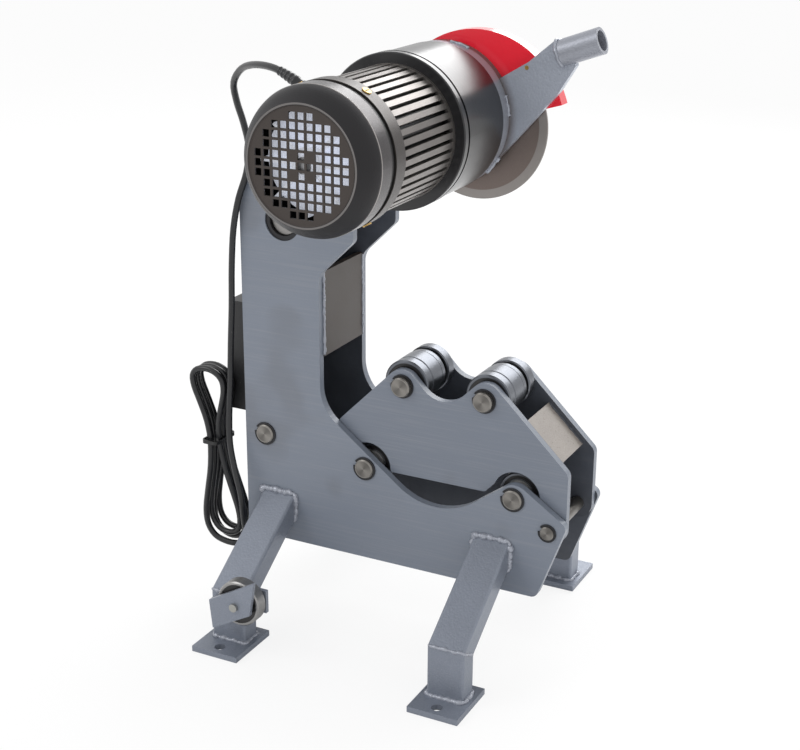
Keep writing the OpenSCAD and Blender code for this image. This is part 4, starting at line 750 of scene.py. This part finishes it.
cover_black, w, shader, layer, radius = turned_steel(
    "fan_cover_black", linear(64, 61, 62), 0.3, (tuple(MOTOR),), metallic=0.55,
    cloud=(30.0, 0.25), dust=0.2)
place = w.node("ShaderNodeTexCoord").outputs["Object"]
along = w.node("ShaderNodeSeparateXYZ", {"Vector": place}).outputs["Y"]
slope = w.maths("SUBTRACT", 1.0, w.band(radius, *SLOPE_R))
face = w.maths("SUBTRACT", 1.0, w.band(radius, *FACE_R))
edge = w.maths("COMPARE", along, RIM_Y, RIM_HALF)
bead = w.maths("COMPARE", radius, BEAD_R, BEAD_HALF)
# Painted highlight on the rolled edge and the band.
bright = w.maths("MINIMUM", w.maths("ADD", edge, w.maths("MULTIPLY", bead, BEAD_SHARE)), 1.0)
toned = w.blend(slope, layer["Colour"], SLOPE_BLACK)
toned = w.blend(face, toned, FACE_BROWN)
w.feed(w.blend(bright, toned, EDGE_HIGHLIGHT), shader.inputs["Base Color"])
w.feed(w.maths("MULTIPLY_ADD", slope, SLOPE_ROUGH, layer["Roughness"]), shader.inputs["Roughness"])
wear(cover_black, "fan_cover")

# The ring behind the fan cover: satin black casting, with painted shade on its spigot in the
# groove.
SPIGOT_R, GROOVE_SHADE, RING_METAL, GROOVE_METAL = (0.0616, 0.0620), linear(9, 9, 10), 0.55, 0.05

ring_black, w, shader, layer, radius = turned_steel(
    "end_ring_black", linear(70, 66, 64), 0.32, (tuple(MOTOR),), metallic=RING_METAL, dust=0.2)
groove = w.maths("SUBTRACT", 1.0, w.band(radius, *SPIGOT_R))
w.feed(w.blend(groove, layer["Colour"], GROOVE_SHADE), shader.inputs["Base Color"])
w.feed(w.maths("MULTIPLY_ADD", groove, GROOVE_METAL - RING_METAL, RING_METAL),
       shader.inputs["Metallic"])
wear(ring_black, "rear_end_shield")

# The motor shell: extruded aluminium, brushed with thin black. The fins' crests show the bare
# metal, and the floor between them is painted near black and not metallic, as shade between the
# fins.
CREST_R, SHELL_METAL, FIN_FLOOR_SHADE = (0.0560, 0.0590), 0.8, linear(14, 14, 15)

shell_metal, w, shader, layer, radius = turned_steel(
    "rubbed_fin_aluminium", linear(122, 118, 115), 0.3, (tuple(MOTOR),), metallic=SHELL_METAL,
    cloud=(35.0, 0.5), dust=0.3)
crest = w.band(radius, *CREST_R)
w.feed(w.blend(crest, FIN_FLOOR_SHADE, layer["Colour"]), shader.inputs["Base Color"])
w.feed(w.maths("MULTIPLY", crest, SHELL_METAL), shader.inputs["Metallic"])
wear(shell_metal, "motor_shell")
copper, *_ = finish("stator_laminations", linear(150, 110, 80), 0.4, metallic=0.7)
wear(copper, "stator")

# The cooling fan behind the grille and the contact block in the box: pale moulded plastic. It
# glows a little, since hardly any of the studio's light gets through the grille.
GRILLE_GLOW = 0.3

pale_plastic, w, shader, layer = finish("pale_moulded_plastic", linear(228, 232, 242), 0.4,
                                        cloud=(30.0, 0.08), grain=(900.0, 0.05), dust=0.1)
w.feed(layer["Colour"], shader.inputs["Emission Color"])
shader.inputs["Emission Strength"].default_value = GRILLE_GLOW
wear(pale_plastic, "cooling_fan", "contact_block")

# The cover's and the guard's screws: yellow-passivated steel.
brass, *_ = finish("yellow_passivate", linear(196, 160, 92), 0.3, metallic=0.85,
                   grain=(1800.0, 0.3))
wear(brass, "cover_screws")

# The blade's guard: bent sheet, sprayed gloss signal red.
guard_red, *_ = finish("gloss_signal_red", linear(236, 32, 52), 0.22, cloud=(18.0, 0.12),
                       grain=(300.0, 0.08), dust=0.2, bump=0.04, coat_weight=0.6,
                       coat_rough=0.08)
wear(guard_red, "blade_guard")

# The blade: a plain round cutting disc of tool steel with no teeth, brown-grey from hardening
# and ground bright along its edge.
GROUND_R, GROUND_STEEL = (0.0612, 0.0617), linear(148, 143, 140)

disc_steel, w, shader, layer, radius = turned_steel(
    "hardened_disc_steel", linear(120, 109, 104), 0.36, (OUTPUT,), metallic=0.85, dust=0.15)
ground_edge = w.band(radius, *GROUND_R)
w.feed(w.blend(ground_edge, layer["Colour"], GROUND_STEEL), shader.inputs["Base Color"])
wear(disc_steel, "saw_blade")

# The switch box on the column's back: ribless black moulding with a matt lid. Its two buttons
# are glossy, green to start and red to stop.
box_black, *_ = finish("matt_black_moulding", linear(28, 28, 30), 0.48, grain=(1300.0, 0.3),
                       dust=0.4, bump=0.15)
wear(box_black, "switch_box", "switch_box_lid")
for name, material, colour in (("start_button", "green_button_gloss", linear(28, 140, 62)),
                               ("stop_button", "red_button_gloss", linear(190, 28, 30))):
    gloss, *_ = finish(material, colour, 0.2, dust=0.1)
    wear(gloss, name)

# The studio: a plain pale floor under a white world, a wide soft lamp up behind the tool that
# lights the tops of its round parts, and a softer one from the upper left in front. Seen by the
# camera, the floor is mostly plain white light, so that it runs into the sky.
FLOOR_HALF, FLOOR_DROP, FLOOR_GREY, FLOOR_LIGHT_SHARE = 30, 0.0005, (0.93, 0.93, 0.93, 1), 0.84
WHITE = (1, 1, 1, 1)
SKY_LIGHT, SKY_SEEN = 0.88, 1.0
LAMPS = (("softbox_behind", (0.25, 2.0, 1.75), (0.0, 0.0, 0.45), (2.2, 1.3), 45.0),
         ("softbox_front_left", (-1.6, -1.5, 1.9), (0.0, 0.0, 0.3), (1.2, 1.2), 14.0))

floor_mesh = bpy.data.meshes.new("studio_floor")
floor_mesh.from_pydata([(FLOOR_HALF * x, FLOOR_HALF * y, 0)
                        for x, y in ((-1, -1), (1, -1), (1, 1), (-1, 1))], [], [(0, 1, 2, 3)])
floor = bpy.data.objects.new("studio_floor", floor_mesh)
bpy.context.scene.collection.objects.link(floor)
floor_coat = bpy.data.materials.new("pale_floor")
floor_coat.use_nodes = True
floor.data.materials.append(floor_coat)
w = Wiring(floor_coat.node_tree)
shader = w.tree.nodes["Principled BSDF"]
shader.inputs["Base Color"].default_value = FLOOR_GREY
shader.inputs["Roughness"].default_value = 0.9
shader.inputs["Specular IOR Level"].default_value = 0.1
white = w.node("ShaderNodeEmission", {"Color": WHITE, "Strength": 1.0})
seen = w.node("ShaderNodeLightPath").outputs["Is Camera Ray"]
pale = w.node("ShaderNodeMixShader", {0: w.maths("MULTIPLY", seen, FLOOR_LIGHT_SHARE),
                                      1: shader.outputs[0], 2: white.outputs[0]})
w.feed(pale.outputs[0], w.tree.nodes["Material Output"].inputs["Surface"])
floor.location.z = -FLOOR_DROP

world = bpy.data.worlds.new("studio_sky")
bpy.context.scene.world = world
world.use_nodes = True
w = Wiring(world.node_tree)
rays = w.node("ShaderNodeLightPath").outputs
seen = w.maths("MAXIMUM", w.maths("MAXIMUM", rays["Is Camera Ray"], rays["Is Glossy Ray"]),
               rays["Is Transmission Ray"])
sky = w.tree.nodes["Background"]
sky.inputs["Color"].default_value = WHITE
w.feed(w.maths("MULTIPLY_ADD", seen, SKY_SEEN - SKY_LIGHT, SKY_LIGHT), sky.inputs["Strength"])

for name, place, aim, size, power in LAMPS:
    lamp = bpy.data.lights.new(name, "AREA")
    lamp.shape, lamp.size, lamp.size_y, lamp.energy = "RECTANGLE", *size, power
    holder = bpy.data.objects.new(name, lamp)
    bpy.context.scene.collection.objects.link(holder)
    holder.location = place
    holder.rotation_mode = "QUATERNION"
    holder.rotation_quaternion = (Vector(aim) - Vector(place)).to_track_quat("-Z", "Y")
bpy.context.scene.view_settings.view_transform = "Standard"
